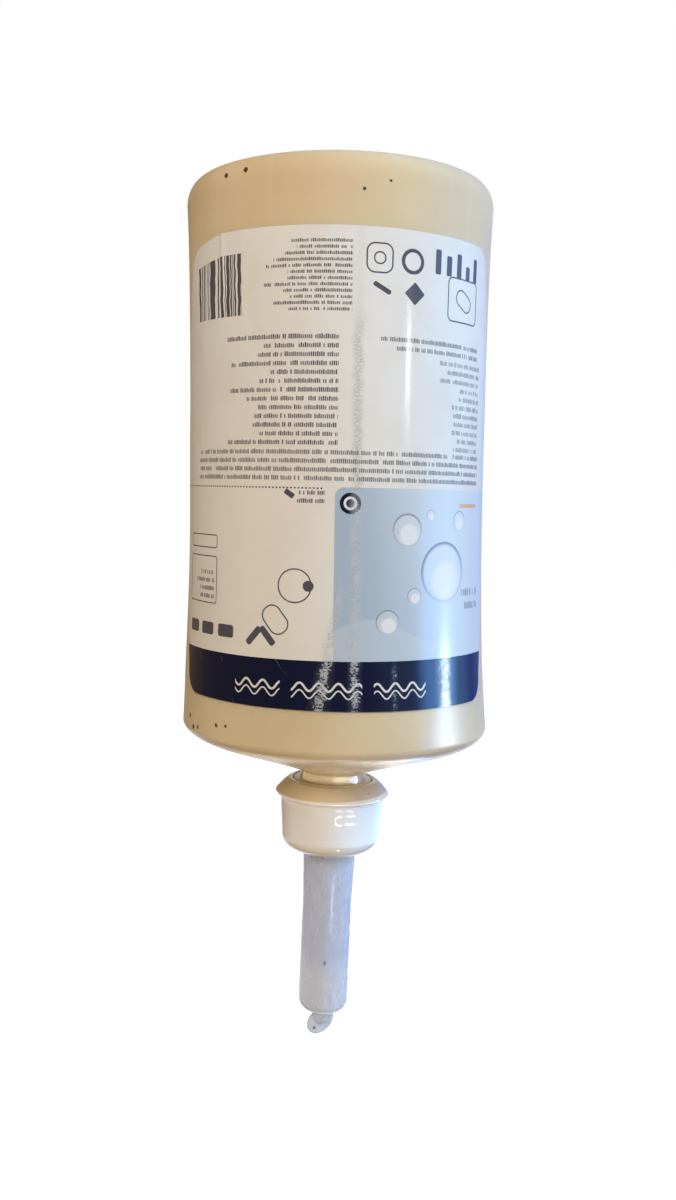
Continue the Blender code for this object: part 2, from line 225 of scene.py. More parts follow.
class Graph:
    """The nodes of a material or world, added by short calls that return the socket to use next."""

    def __init__(self, name: str, world: bool = False) -> None:
        """Start a material with a plain shader, or a world with a plain background.

        Args:
            name: Name of the material or world.
            world: Whether the nodes are a world's.
        """
        self.owner = bpy.data.worlds.new(name) if world else bpy.data.materials.new(name)
        self.owner.use_nodes = True
        self.nodes = self.owner.node_tree.nodes
        self.links = self.owner.node_tree.links
        self.shader = self.nodes["Background" if world else "Principled BSDF"]

    def feed(self, socket: Socket, value: Feed) -> None:
        """Link a socket into another, or write a plain value there.

        Args:
            socket: The input to fill.
            value: Another node's output, a number, a vector or a colour.
        """
        if isinstance(value, bpy.types.NodeSocket):
            self.links.new(value, socket)
        elif isinstance(value, tuple) and socket.type == "RGBA":
            socket.default_value = (*value[:3], 1)
        else:
            socket.default_value = value

    def node(self, kind: str, *values: Feed, **settings: str) -> bpy.types.Node:
        """Add a node and fill its first inputs.

        Args:
            kind: Blender's name for the node, without the words that all shader nodes start with.
            values: What its first inputs get, in their order.
            settings: Its own settings, which are made before its inputs are filled.

        Returns:
            The node.
        """
        node = self.nodes.new(f"ShaderNode{kind}")
        for key, setting in settings.items():
            setattr(node, key, setting)
        for socket, value in zip(node.inputs, values):
            self.feed(socket, value)
        return node

    def shade(self, **inputs: Feed) -> None:
        """Feed the shader's own sockets, named in lower case with underscores."""
        for key, value in inputs.items():
            label = " ".join(word.capitalize() for word in key.split("_"))
            self.feed(self.shader.inputs[label.replace("Ior", "IOR")], value)

    def object_point(self) -> Socket:
        """The place on the piece, in metres."""
        return self.node("TexCoord").outputs["Object"]

    def math(self, operation: str, first: Feed, second: Feed = 0.0, third: Feed = 0.0) -> Socket:
        """One Math node."""
        return self.node("Math", first, second, third, operation=operation).outputs[0]

    def vector(self, operation: str, first: Feed, second: Feed = (0.0, 0.0, 0.0)) -> Socket:
        """One Vector Math node, with its number where the operation gives one."""
        node = self.node("VectorMath", first, second, operation=operation)
        return node.outputs["Value" if operation in ("LENGTH", "DISTANCE") else "Vector"]

    def split(self, point: Feed) -> tuple[Socket, Socket, Socket]:
        """The three numbers of a vector."""
        x, y, z = self.node("SeparateXYZ", point).outputs
        return x, y, z

    def joined(self, x: Feed, y: Feed, z: Feed = 0.0) -> Socket:
        """A vector from three numbers."""
        return self.node("CombineXYZ", x, y, z).outputs[0]

    def turned(self, point: Feed, angle: float) -> Socket:
        """Turn a vector about Z.

        Args:
            point: The vector.
            angle: The angle in radians.

        Returns:
            The turned vector.
        """
        node = self.node("VectorRotate", point, rotation_type="Z_AXIS")
        node.inputs["Angle"].default_value = angle
        return node.outputs[0]

    def noise_node(
        self, point: Feed, scale: float, detail: float = 2.0, roughness: float = 0.5
    ) -> bpy.types.Node:
        """Soft noise, as a node.

        Args:
            point: Where the noise is read.
            scale: How many swells lie along one unit.
            detail: How many finer layers it has.
            roughness: How strong the finer layers are.

        Returns:
            The node, with a number and a colour.
        """
        node = self.node("TexNoise", point)
        for name, value in (("Scale", scale), ("Detail", detail), ("Roughness", roughness)):
            node.inputs[name].default_value = value
        return node

    def noise(self, point: Feed, scale: float, detail: float = 2.0, roughness: float = 0.5) -> Socket:
        """Soft noise from 0 to 1."""
        return self.noise_node(point, scale, detail, roughness).outputs["Fac"]

    def dice(self, point: Feed) -> tuple[Socket, Socket]:
        """Two random numbers for each whole place of a vector."""
        node = self.node("TexWhiteNoise", point, noise_dimensions="3D")
        return node.outputs["Value"], self.split(node.outputs["Color"])[1]

    def spread(
        self, value: Feed, low: float, high: float, to_low: float = 0.0, to_high: float = 1.0
    ) -> Socket:
        """Map a range smoothly onto another, and hold the ends.

        Args:
            value: The number to map.
            low: Where the range starts.
            high: Where it ends.
            to_low: What its start becomes.
            to_high: What its end becomes.

        Returns:
            The mapped number.
        """
        numbers = (value, low, high, to_low, to_high)
        return self.node("MapRange", *numbers, interpolation_type="SMOOTHSTEP").outputs[0]

    def fading(self, value: Feed, start: float, end: float) -> Socket:
        """1 up to the start of a range, falling smoothly to 0 at its end."""
        return self.spread(value, start, end, 1.0, 0.0)

    def away(self, value: Feed, middle: Feed) -> Socket:
        """How far a number lies from a middle, to either side."""
        return self.math("ABSOLUTE", self.math("SUBTRACT", value, middle))

    def below(self, value: Feed, limit: Feed) -> Socket:
        """1 where the value is below the limit."""
        return self.math("LESS_THAN", value, limit)

    def between(self, low: Feed, value: Feed, high: Feed) -> Socket:
        """1 where the value lies between two limits."""
        return self.times(self.below(low, value), self.below(value, high))

    def times(self, *values: Feed) -> Socket:
        """Multiply some masks.

        Args:
            values: The masks.

        Returns:
            Their product.
        """
        product = values[0]
        for value in values[1:]:
            product = self.math("MULTIPLY", product, value)
        return product

    def most(self, *values: Feed) -> Socket:
        """Put some masks together.

        Args:
            values: The masks.

        Returns:
            The strongest of them at each place.
        """
        strongest = values[0]
        for value in values[1:]:
            strongest = self.math("MAXIMUM", strongest, value)
        return strongest

    def over(self, base: Feed, top: Feed, share: Feed) -> Socket:
        """A colour laid over another.

        Args:
            base: The colour below.
            top: The colour above.
            share: The mask of the colour above.

        Returns:
            The mixed colour.
        """
        node = self.node("Mix", share, data_type="RGBA")
        self.feed(node.inputs[6], base)
        self.feed(node.inputs[7], top)
        return node.outputs[2]

    def relief(self, *layers: tuple[Feed, float, float]) -> None:
        """Chain bumps into the shader's normal.

        Args:
            layers: Each a height, its strength and its depth in metres.
        """
        normal = None
        for height, strength, depth in layers:
            node = self.node("Bump")
            self.feed(node.inputs["Height"], height)
            node.inputs["Strength"].default_value = strength
            node.inputs["Distance"].default_value = depth
            if normal:
                self.links.new(normal, node.inputs["Normal"])
            normal = node.outputs["Normal"]
        self.links.new(normal, self.shader.inputs["Normal"])

    def specks(self, point: Feed, places: Iterable[Speck]) -> Socket:
        """A mask of small spots with ragged rims.

        Args:
            point: The place on the piece.
            places: Each spot's centre and radius in metres.

        Returns:
            The mask.
        """
        swing = 0.0007
        shift = self.noise_node(point, 2600.0).outputs["Color"]
        shift = self.vector("MULTIPLY", self.vector("SUBTRACT", shift, (0.5,) * 3), (swing,) * 3)
        ragged = self.vector("ADD", point, shift)
        spots = [
            self.below(self.vector("DISTANCE", ragged, tuple(place)), radius)
            for place, radius in places
        ]
        return self.most(*spots)


# Bottle


@dataclass
class Bottle:
    """The blown bottle: upright body, and a neck that came out leaning."""

    radius: float = 0.0450
    waist_height: float = 0.1080
    top_flare: float = 0.0013
    foot_flare: float = 0.0024
    foot_flare_power: float = 2.5
    base_height: float = 0.1856
    base_corner: Point = (0.0043, 0.0063)
    base_ring_width: float = 0.0045
    push_up_depth: float = 0.0035
    pinch_ridge: float = 0.0003
    shoulder_height: float = 0.0237
    shoulder_corner: Point = (0.0306, 0.0088)
    shoulder_slope: float = math.radians(18.5)
    neck_radius: float = 0.0103
    neck_fillet: float = 0.0010
    neck_ring_radius: float = 0.0123
    neck_groove_radius: float = 0.0115
    neck_ring_thickness: float = 0.0016
    brim_top: float = 0.0047
    finish_radius: float = 0.0134
    finish_top: float = 0.0010
    finish_foot: float = -0.0129
    finish_chamfer: float = 0.0010
    lean: float = math.radians(1.7)
    lean_pivot: float = 0.0040
    lean_start: float = 0.0460
    wave: float = 0.00016
    rounding: float = 0.00018
    sides: int = 240

    def wall_radius(self, height: float) -> float:
        """Radius of the side wall, which narrows a little to its waist.

        Args:
            height: Height in metres.

        Returns:
            The radius in metres.
        """
        rise = height - self.waist_height
        if rise > 0:
            return self.radius + self.top_flare * (rise / (self.base_height - self.waist_height)) ** 2
        drop = min(-rise / (self.waist_height - self.shoulder_height), 1)
        return self.radius + self.foot_flare * drop**self.foot_flare_power

    def wall_wave(self, angle: float, height: float) -> float:
        """The soft wall's unevenness, which label and bottle share.

        Args:
            angle: Angle round the bottle, 0 at the front.
            height: Height in metres.

        Returns:
            How far the wall stands out of its true form, in metres.
        """
        ripple = Vector((3.2 * math.sin(angle), 3.2 * math.cos(angle), height * 22))
        swell = Vector((1.1 * math.sin(angle), 1.1 * math.cos(angle), height * 9 + 5))
        fade = ease(height, self.shoulder_height - 0.006, self.shoulder_height + 0.012)
        fade *= 1 - ease(height, self.base_height - 0.016, self.base_height - 0.004)
        return self.wave * fade * (noise.noise(ripple) + 1.4 * noise.noise(swell))

    def stand(self, point: Vector) -> Vector:
        """Move a point of the straight bottle to its place: upright body, leaning neck.

        Args:
            point: The point on the straight bottle.

        Returns:
            Its place in the model.
        """
        turn = Matrix.Rotation(self.lean, 4, "Y")
        pivot = Vector((0, 0, self.lean_pivot))
        share = 1 - ease(point.z, self.brim_top, self.lean_start)
        return (point + (turn @ pivot - pivot)).lerp(turn @ point, share)

    def profile(self) -> list[Point]:
        """Base at the top, down the outside to the flat end of the finish.

        Returns:
            The profile.
        """
        rim_height = self.base_height - self.base_corner[1]
        rim_radius = self.wall_radius(rim_height) - self.base_corner[0]
        ring_inner = rim_radius - self.base_ring_width
        rings = 14
        points = []
        for ring in range(rings):
            share = ring / rings
            points.append((ring_inner * share, self.base_height - self.push_up_depth * (1 - share**3)))
        points.append((ring_inner, self.base_height))
        points += arc((rim_radius, rim_height), self.base_corner, 90, 0, 14)

        rows = 72
        for row in range(1, rows):
            height = rim_height + (self.shoulder_height - rim_height) * row / rows
            points.append((self.wall_radius(height), height))

        corner_radial, corner_axial = self.shoulder_corner
        corner_centre = (self.wall_radius(self.shoulder_height) - corner_radial, self.shoulder_height)
        corner_end = math.atan(corner_axial / (corner_radial * math.tan(self.shoulder_slope)))
        points += arc(corner_centre, self.shoulder_corner, 0, -math.degrees(corner_end), 26)

        cone_start = points[-1]
        cone_end = self.neck_radius + self.neck_fillet
        for row in range(1, 6):
            radius = cone_start[0] + (cone_end - cone_start[0]) * row / 6
            points.append((radius, cone_start[1] - (cone_start[0] - radius) * math.tan(self.shoulder_slope)))
        fillet_height = cone_start[1] - (cone_start[0] - cone_end) * math.tan(self.shoulder_slope)
        fillet = (cone_end, fillet_height - self.neck_fillet)
        slope_normal = 90 + math.degrees(self.shoulder_slope)
        points += arc(fillet, (self.neck_fillet, self.neck_fillet), slope_normal, 180, 8)
        ring_foot = self.brim_top - self.neck_ring_thickness
        points += [
            (self.neck_radius, self.brim_top),
            (self.neck_ring_radius, self.brim_top),
            (self.neck_ring_radius, ring_foot),
            (self.neck_groove_radius, ring_foot),
            (self.neck_groove_radius, self.finish_top),
            (self.finish_radius, self.finish_top),
            (self.finish_radius, self.finish_foot + self.finish_chamfer),
            (self.finish_radius - self.finish_chamfer, self.finish_foot),
            (0, self.finish_foot),
        ]
        return points

    def model(self) -> Thing:
        """Turn the bottle, round its small edges, and give its wall and base their unevenness.

        Returns:
            The finished mesh, in its place.
        """
        piece = Bench.turned("bottle_blown", self.profile(), self.sides)
        Bench.soften(piece, self.rounding, 2, math.radians(40))
        base_edge = self.radius - 0.0060
        base_floor = self.base_height - 0.0045
        for vert in piece.data.vertices:
            place = vert.co.copy()
            spread = math.hypot(place.x, place.y)
            angle = math.atan2(place.x, -place.y)
            if spread > self.radius / 2:
                stretch = 1 + self.wall_wave(angle, place.z) / spread
                place.x *= stretch
                place.y *= stretch
            if place.z > base_floor and spread < base_edge:
                inside = 1 - ease(spread, base_edge - 0.006, base_edge)
                place.z += self.pinch_ridge * hump(place.y, 0, 0.0007) * inside
            vert.co = self.stand(place)
        Bench.smooth(piece, math.radians(35))
        return piece


@dataclass(frozen=True)
class CreamPlastic:
    """Soft blown polyethylene, cream with the soap behind it, satin and a little grubby."""

    light: Colour = (0.73, 0.60, 0.40)
    deep: Colour = (0.67, 0.535, 0.34)
    dirt: Colour = (0.06, 0.045, 0.035)
    smudge: Colour = (0.45, 0.36, 0.24)
    roughness: float = 0.34
    neck_top: float = 0.0125
    neck_roughness: float = 0.16
    seam_width: float = 0.0004

    def material(self, marks: Iterable[Speck]) -> Material:
        """Make the material.

        Args:
            marks: Centre and radius of each dark speck.

        Returns:
            The material.
        """
        graph = Graph("cream_plastic")
        point = graph.object_point()
        cloud = graph.noise(point, 26.0, 3.0)
        colour = graph.over(self.deep, self.light, graph.spread(cloud, 0.3, 0.68))
        flow = graph.noise(graph.vector("MULTIPLY", point, (340.0, 340.0, 18.0)), 1.0, 2.0)
        colour = graph.over(colour, self.light, graph.times(graph.spread(flow, 0.45, 0.8), 0.35))
        grime = graph.times(graph.spread(graph.noise(point, 120.0, 6.0, 0.65), 0.60, 0.78), 0.28)
        colour = graph.over(colour, self.smudge, grime)
        dust = graph.node("TexVoronoi", point)
        dust.inputs["Scale"].default_value = 95.0
        rare = graph.below(graph.split(dust.outputs["Color"])[0], 0.10)
        dust_mask = graph.times(graph.below(dust.outputs["Distance"], 0.045), rare)
        colour = graph.over(colour, self.dirt, graph.times(dust_mask, 0.55))
        colour = graph.over(colour, self.dirt, graph.specks(point, marks))
        least, most = self.roughness - 0.06, self.roughness + 0.08
        rough = graph.spread(graph.noise(point, 60.0, 4.0), 0.3, 0.7, least, most)
        _, across, height = graph.split(point)
        rough = graph.over(rough, (self.neck_roughness,) * 3, graph.below(height, self.neck_top))
        graph.shade(base_color=colour, roughness=rough, ior=1.5, specular_IOR_level=0.5)
        graph.shade(subsurface_weight=0.5, subsurface_scale=0.008, subsurface_radius=(1.0, 0.62, 0.32))
        seam = graph.fading(graph.math("ABSOLUTE", across), self.seam_width * 0.4, self.seam_width)
        skin = graph.noise(point, 900.0, 3.0)
        graph.relief((seam, 0.5, 0.00012), (flow, 0.25, 0.0001), (skin, 0.10, 0.00006))
        return graph.owner


# Label


@dataclass(frozen=True)
class BarBlock:
    """Some rows of small broken bars, in millimetres on the flat label."""

    right: float
    foot: float
    width: float
    lines: int
    pitch: float = 2.35
    rag: float = 0.4
    seed: float = 0.0
    height: float = 0.40
    bar_pitch: float = 0.56
    strength: float = 0.78


@dataclass(frozen=True)
class Shape:
    """A box with round corners, or a disc, in millimetres on the flat label.

    Without a line it is filled.
    """

    centre: Point
    size: Point
    corner: float
    line: float = 0.0
    tilt: float = 0.0
    strength: float = 1.0


@dataclass(frozen=True)
class Bubble:
    """One round bubble of the panel's print, in millimetres."""

    centre: Point
    radius: float


@dataclass
class Label:
    """The printed film round the front, modelled flat and wrapped onto the bottle's wall."""

    bottle: Bottle
    foot_height: float = 0.0349
    top_height: float = 0.1653
    half_arc: float = math.radians(68.5)
    side_bow: float = math.radians(8.0)
    corner: float = 0.0070
    skew: float = -0.0091
    gap: float = 0.00012
    thickness: float = 0.00022
    unit: float = 0.140
    columns: int = 150
    rows: int = 150
    fold_at: float = -0.0353
    fold_drop: float = 0.17

    @property
    def half_height(self) -> float:
        """Half the flat label's height."""
        return (self.top_height - self.foot_height) / 2

    def half_width(self, height: float) -> float:
        """Half the flat label's width, with its bowed sides and round corners.

        Args:
            height: Height from the label's middle.

        Returns:
            The half width in metres.
        """
        straight = self.half_height - self.corner
        half = self.half_arc * self.bottle.radius
        beyond = abs(height) - straight
        if beyond <= 0:
            return half + self.side_bow * self.bottle.radius * (1 - (height / straight) ** 2)
        return half - self.corner + math.sqrt(max(self.corner**2 - beyond**2, 0))

    def lift(self, across: float, height: float) -> float:
        """How far the film stands off in creases and wrinkles.

        Args:
            across: Place along the flat label, from its middle.
            height: Height from its middle.

        Returns:
            The lift in metres.
        """
        upper = ease(height, self.half_height - 0.022, self.half_height - 0.004)
        fold = 0.00035 * hump(across, self.fold_at, 0.0007) * upper
        drift = 0.0006 * math.sin(height * 140) + 0.0012 * noise.noise(Vector((0, 0, height * 60)))
        ridge_at = 0.0050 + drift + 0.000025 / 0.065 * height
        ridge = hump(across, ridge_at, 0.0007) * (1 - ease(height, 0.026, 0.040))
        ridge *= 0.5 + 0.5 * noise.noise(Vector((3, 7, height * 300)))
        crinkle = noise.noise(Vector((across * 190, height * 150, 4)))
        side = ease(-across, 0.036, 0.046) * ease(height, -0.004, 0.012) * (1 - ease(height, 0.034, 0.046))
        scuffed = hump(across, -0.0030 + 0.1 * height, 0.006) * ease(-height, 0.026, 0.05)
        return fold + 0.00016 * ridge + 0.00012 * side * max(crinkle, 0) + 0.00005 * scuffed * max(crinkle, 0)

    def wrap(self, across: float, height: float, depth: float) -> Vector:
        """Wrap a point of the flat label round the bottle's front.

        Args:
            across: Place along the flat label, from its middle.
            height: Height from its middle.
            depth: How far it stands off the label's seat.

        Returns:
            Its place in the model.
        """
        middle = (self.top_height + self.foot_height) / 2
        angle = across / self.bottle.radius
        upper = ease(height, self.half_height - 0.020, self.half_height)
        dropped = height - self.fold_drop * max(self.fold_at - across, 0) * upper
        up = middle + dropped + self.skew * across
        radius = self.bottle.wall_radius(up) + self.bottle.wall_wave(angle, up) + self.gap + depth
        return self.bottle.stand(Vector((radius * math.sin(angle), -radius * math.cos(angle), up)))

    def model(self) -> Thing:
        """Lay out a flat grid, give it the label's outline and print map, wrap it and thicken it.

        Returns:
            The finished mesh, in its place.
        """
        Bench.take(None)
        bpy.ops.mesh.primitive_grid_add(x_subdivisions=self.columns, y_subdivisions=self.rows, size=2)
        piece = bpy.context.object
        piece.name = piece.data.name = "label_printed"
        mesh = piece.data
        flat = []
        for vert in mesh.vertices:
            height = self.half_height * math.sin(vert.co.y * math.pi / 2)
            flat.append((vert.co.x * self.half_width(height), height))
        print_map = mesh.uv_layers.active or mesh.uv_layers.new(name="print")
        print_map.name = "print"
        for loop in mesh.loops:
            across, height = flat[loop.vertex_index]
            print_map.data[loop.index].uv = (0.5 + across / self.unit, 0.5 + height / self.unit)
        for vert, (across, height) in zip(mesh.vertices, flat):
            vert.co = self.wrap(across, height, self.thickness + self.lift(across, height))
        Bench.apply(piece, "film", "SOLIDIFY", thickness=self.thickness, offset=-1, use_even_offset=False)
        Bench.smooth(piece, math.radians(50))
        return piece


@dataclass(frozen=True)
class PrintedFilm:
    """Glossy white film: navy band, pale panel with bubbles, rows of small bars, and scuffs.

    Places are millimetres from the middle of the flat label.
    """

    ground: Colour = (0.80, 0.77, 0.725)
    # Painted light: a more neutral white that the ground turns to toward the top, for the whiter light from
    # above.
    ground_top_painted_light: Colour = (0.79, 0.785, 0.775)
    ink: Colour = (0.030, 0.030, 0.060)
    navy: Colour = (0.006, 0.0085, 0.034)
    panel: Colour = (0.395, 0.49, 0.60)
    # Pale blue of the panel's printed wave and gradient, and also a painted sheen at the panel's right.
    panel_pale_and_sheen: Colour = (0.64, 0.70, 0.76)
    bubble: Colour = (0.80, 0.79, 0.80)
    orange: Colour = (0.75, 0.36, 0.10)
    bared: Colour = (0.54, 0.56, 0.58)
    # Grey of the soiling on rubbed film, and also of the painted shade along the crease.
    soil_and_crease_shade: Colour = (0.16, 0.15, 0.16)
    gloss: float = 0.13
    band_top: float = -51.4
    panel_left: float = -0.3
    panel_top: float = -3.9
    panel_size: Point = (80.0, 70.0)
    panel_corner: float = 2.6
    bubble_shade: Colour = (0.13, 0.16, 0.23)
    band_waves: Colour = (0.74, 0.72, 0.72)
    badge: Shape = Shape((3.9, -8.2), (5.8, 5.8), 2.9)
    badge_ring: Shape = Shape((3.9, -8.2), (3.0, 3.0), 1.5, 0.7)
    accent: Shape = Shape((45.5, -8.2), (10.5, 1.1), 0.5)
    blocks: tuple[BarBlock, ...] = (
        BarBlock(right=3.6, foot=43.0, width=27.0, lines=12, pitch=1.62, rag=0.55, seed=3, bar_pitch=0.5),
        BarBlock(right=0.2, foot=7.4, width=34.0, lines=13, rag=0.45, seed=19),
        BarBlock(right=50.5, foot=6.9, width=23.0, lines=11, rag=0.5, seed=31, bar_pitch=0.5, strength=0.55),
        BarBlock(right=48.5, foot=33.2, width=44.0, lines=2, rag=0.35, seed=47, bar_pitch=0.5, strength=0.7),
        BarBlock(right=51.2, foot=-2.2, width=101.0, lines=4, rag=0.04, seed=61, bar_pitch=0.55, strength=0.7),
        BarBlock(right=-3.1, foot=-8.3, width=8.6, lines=2, pitch=2.2, rag=0.3, seed=73),
        BarBlock(right=-38.6, foot=-36.4, width=13.5, lines=4, pitch=2.3, rag=0.5, seed=83, bar_pitch=0.5),
        BarBlock(right=52.0, foot=-38.0, width=10.5, lines=2, pitch=3.9, rag=0.4, seed=97, strength=0.5),
    )
    outlines: tuple[Shape, ...] = (
        Shape(centre=(10.8, 57.2), size=(7.0, 7.6), corner=2.2, line=0.42),
        Shape(centre=(10.8, 57.2), size=(3.0, 3.0), corner=1.4, line=0.40),
        Shape(centre=(20.2, 57.0), size=(5.8, 5.8), corner=2.9, line=1.0),
        Shape(centre=(39.4, 48.8), size=(13.6, 11.8), corner=1.6, line=0.40),
        Shape(centre=(39.4, 48.8), size=(7.2, 4.4), corner=2.1, line=0.40, tilt=0.5),
        Shape(centre=(-45.7, -20.0), size=(16.4, 3.6), corner=0.7, line=0.32),
        Shape(centre=(-45.7, -31.0), size=(16.6, 13.4), corner=0.9, line=0.32),
        Shape(centre=(-11.0, -31.0), size=(9.2, 9.2), corner=4.55, line=0.40),
        Shape(centre=(-16.4, -40.6), size=(8.4, 5.6), corner=2.6, line=0.40, tilt=0.9),
    )
    solids: tuple[Shape, ...] = (
        Shape(centre=(28.5, 58.0), size=(2.0, 6.6), corner=0.5),
        Shape(centre=(32.6, 57.4), size=(2.0, 5.4), corner=0.5),
        Shape(centre=(36.7, 58.0), size=(2.0, 6.6), corner=0.5),
        Shape(centre=(40.8, 56.6), size=(2.0, 3.8), corner=0.5),
        Shape(centre=(44.9, 58.0), size=(2.0, 6.6), corner=0.5),
        Shape(centre=(11.6, 49.4), size=(5.4, 1.3), corner=0.6, tilt=0.5),
        Shape(centre=(21.0, 48.6), size=(4.4, 4.4), corner=0.4, tilt=0.785),
        Shape(centre=(-7.2, -31.0), size=(3.0, 3.0), corner=1.45),
        Shape(centre=(-12.8, -5.9), size=(3.0, 1.5), corner=0.4, tilt=0.6),
        Shape(centre=(-22.8, -45.4), size=(1.9, 6.2), corner=0.7, tilt=0.7),
        Shape(centre=(-18.6, -45.2), size=(1.9, 6.2), corner=0.7, tilt=-0.7),
        Shape(centre=(-33.0, -45.0), size=(6.2, 3.6), corner=0.8),
        Shape(centre=(-41.4, -45.0), size=(6.2, 3.6), corner=0.8),
        Shape(centre=(-49.8, -45.0), size=(6.2, 3.6), corner=0.8),
    )
    runs: tuple[Point, ...] = ((-28.6, -14.6), (-11.4, 7.6), (10.8, 26.4))
    run_wave: float = 5.2
    run_swing: float = 1.1
    run_lines: tuple[Point, ...] = ((-58.6, 0.30), (-60.6, 0.20))
    stripes_across: Point = (-48.8, -28.0)
    stripes_up: Point = (42.4, 59.0)
    scratch_slant: float = 0.95
    dots_height: float = -4.3
    dots_right: float = -3.2
    dot_pitch: float = 1.05
    bubbles: tuple[Bubble, ...] = (
        Bubble((33.5, -27.0), 8.6),
        Bubble((20.4, -15.2), 4.6),
        Bubble((40.2, -12.6), 2.9),
        Bubble((22.8, -33.5), 2.3),
        Bubble((28.2, -11.0), 1.5),
        Bubble((14.6, -40.6), 3.4),
    )

    def distance(self, graph: Graph, place: Socket, shape: Shape) -> Socket:
        """How far a place lies outside a shape's outline.

        Args:
            graph: The material's nodes.
            place: The place on the flat label.
            shape: The shape.

        Returns:
            The distance in millimetres, negative inside the rim.
        """
        local = graph.vector("SUBTRACT", place, (*shape.centre, 0.0))
        if shape.tilt:
            local = graph.turned(local, shape.tilt)
        inner = (shape.size[0] / 2 - shape.corner, shape.size[1] / 2 - shape.corner, 1.0)
        outside = graph.vector("SUBTRACT", graph.vector("ABSOLUTE", local), inner)
        reach = graph.vector("LENGTH", graph.vector("MAXIMUM", outside))
        return graph.math("SUBTRACT", reach, shape.corner)

    def mask(self, graph: Graph, place: Socket, shape: Shape) -> Socket:
        """Where a shape is inked.

        Args:
            graph: The material's nodes.
            place: The place on the flat label.
            shape: The shape.

        Returns:
            The mask.
        """
        distance = self.distance(graph, place, shape)
        if shape.line:
            distance = graph.math("SUBTRACT", graph.math("ABSOLUTE", distance), shape.line / 2)
        return graph.below(distance, 0.0)

    def rows_mask(self, graph: Graph, across: Socket, height: Socket, block: BarBlock) -> Socket:
        """Where a block's bars are inked, broken into pieces of uneven length.

        Args:
            graph: The material's nodes.
            across: Place across the label.
            height: Place up the label.
            block: The block of bars.

        Returns:
            The mask.
        """
        line = graph.math("DIVIDE", graph.math("SUBTRACT", height, block.foot), block.pitch)
        row = graph.math("FLOOR", line)
        rise = graph.math("FRACT", line)
        step = graph.math("DIVIDE", across, block.bar_pitch)
        inked, tall = graph.dice(graph.joined(graph.math("FLOOR", step), row, block.seed))
        ragged, _ = graph.dice(graph.joined(block.seed, row, 0.5))
        left = graph.math("MULTIPLY_ADD", ragged, block.width * block.rag, block.right - block.width)
        top = graph.math("MULTIPLY_ADD", tall, 0.16, block.height)
        in_row = graph.times(graph.below(rise, top), graph.between(0.0, line, block.lines))
        stroke = graph.below(graph.math("FRACT", step), 0.74)
        in_width = graph.times(graph.between(left, across, block.right), stroke)
        strength = graph.math("MULTIPLY_ADD", tall, 0.2, block.strength)
        return graph.times(in_row, in_width, graph.below(0.13, inked), strength)

    def stripes_mask(self, graph: Graph, across: Socket, height: Socket) -> Socket:
        """A block of uneven upright stripes near the label's upper left corner.

        Args:
            graph: The material's nodes.
            across: Place across the label.
            height: Place up the label.

        Returns:
            The mask.
        """
        wrinkle = graph.noise(graph.joined(across, height), 0.22, 2.0)
        shaken = graph.math("MULTIPLY_ADD", wrinkle, 1.3, across)
        step = graph.math("FLOOR", graph.math("DIVIDE", shaken, 0.31))
        stripe, _ = graph.dice(graph.joined(step, 5.0, 9.0))
        (left, right), (foot, top) = self.stripes_across, self.stripes_up
        box = graph.times(graph.between(left, across, right), graph.between(foot, height, top))
        return graph.times(graph.below(stripe, 0.52), box)

    def waves_mask(self, graph: Graph, across: Socket, height: Socket) -> Socket:
        """Three runs of two wavy white lines along the band.

        Args:
            graph: The material's nodes.
            across: Place across the label.
            height: Place up the label.

        Returns:
            The mask.
        """
        turns = math.tau / self.run_wave
        phase = graph.times(across, turns)
        slope = graph.math("COSINE", phase)
        squared = graph.times(slope, slope, (self.run_swing * turns) ** 2)
        steep = graph.math("SQRT", graph.math("ADD", squared, 1.0))
        lines = []
        for middle, line in self.run_lines:
            swing = graph.math("MULTIPLY_ADD", graph.math("SINE", phase), self.run_swing, middle)
            gap = graph.math("DIVIDE", graph.away(height, swing), steep)
            lines.append(graph.below(gap, line))
        spans = [graph.between(left, across, right) for left, right in self.runs]
        return graph.times(graph.most(*lines), graph.most(*spans))

    def bubble_layers(self, graph: Graph, place: Socket) -> tuple[Socket, Socket, Socket]:
        """The masks that all bubbles are printed with.

        Args:
            graph: The material's nodes.
            place: The place on the flat label.

        Returns:
            The masks of their bodies, their shaded rims and their pale feet.
        """
        far = 9.0
        body: Feed = far
        foot: Feed = far
        for bubble in self.bubbles:
            x, y = bubble.centre
            foot_centre = (x + 0.10 * bubble.radius, y - 0.30 * bubble.radius, 0.0)
            from_centre = graph.vector("DISTANCE", place, (x, y, 0.0))
            from_foot = graph.vector("DISTANCE", place, foot_centre)
            body = graph.math("MINIMUM", body, graph.math("DIVIDE", from_centre, bubble.radius))
            foot = graph.math("MINIMUM", foot, graph.math("DIVIDE", from_foot, bubble.radius))
        inside = graph.below(body, 1.0)
        rim = graph.times(graph.spread(body, 0.84, 0.97), inside, graph.spread(foot, 0.75, 1.25, 0.35, 1.0))
        return inside, rim, graph.times(inside, graph.fading(foot, 0.50, 0.78))

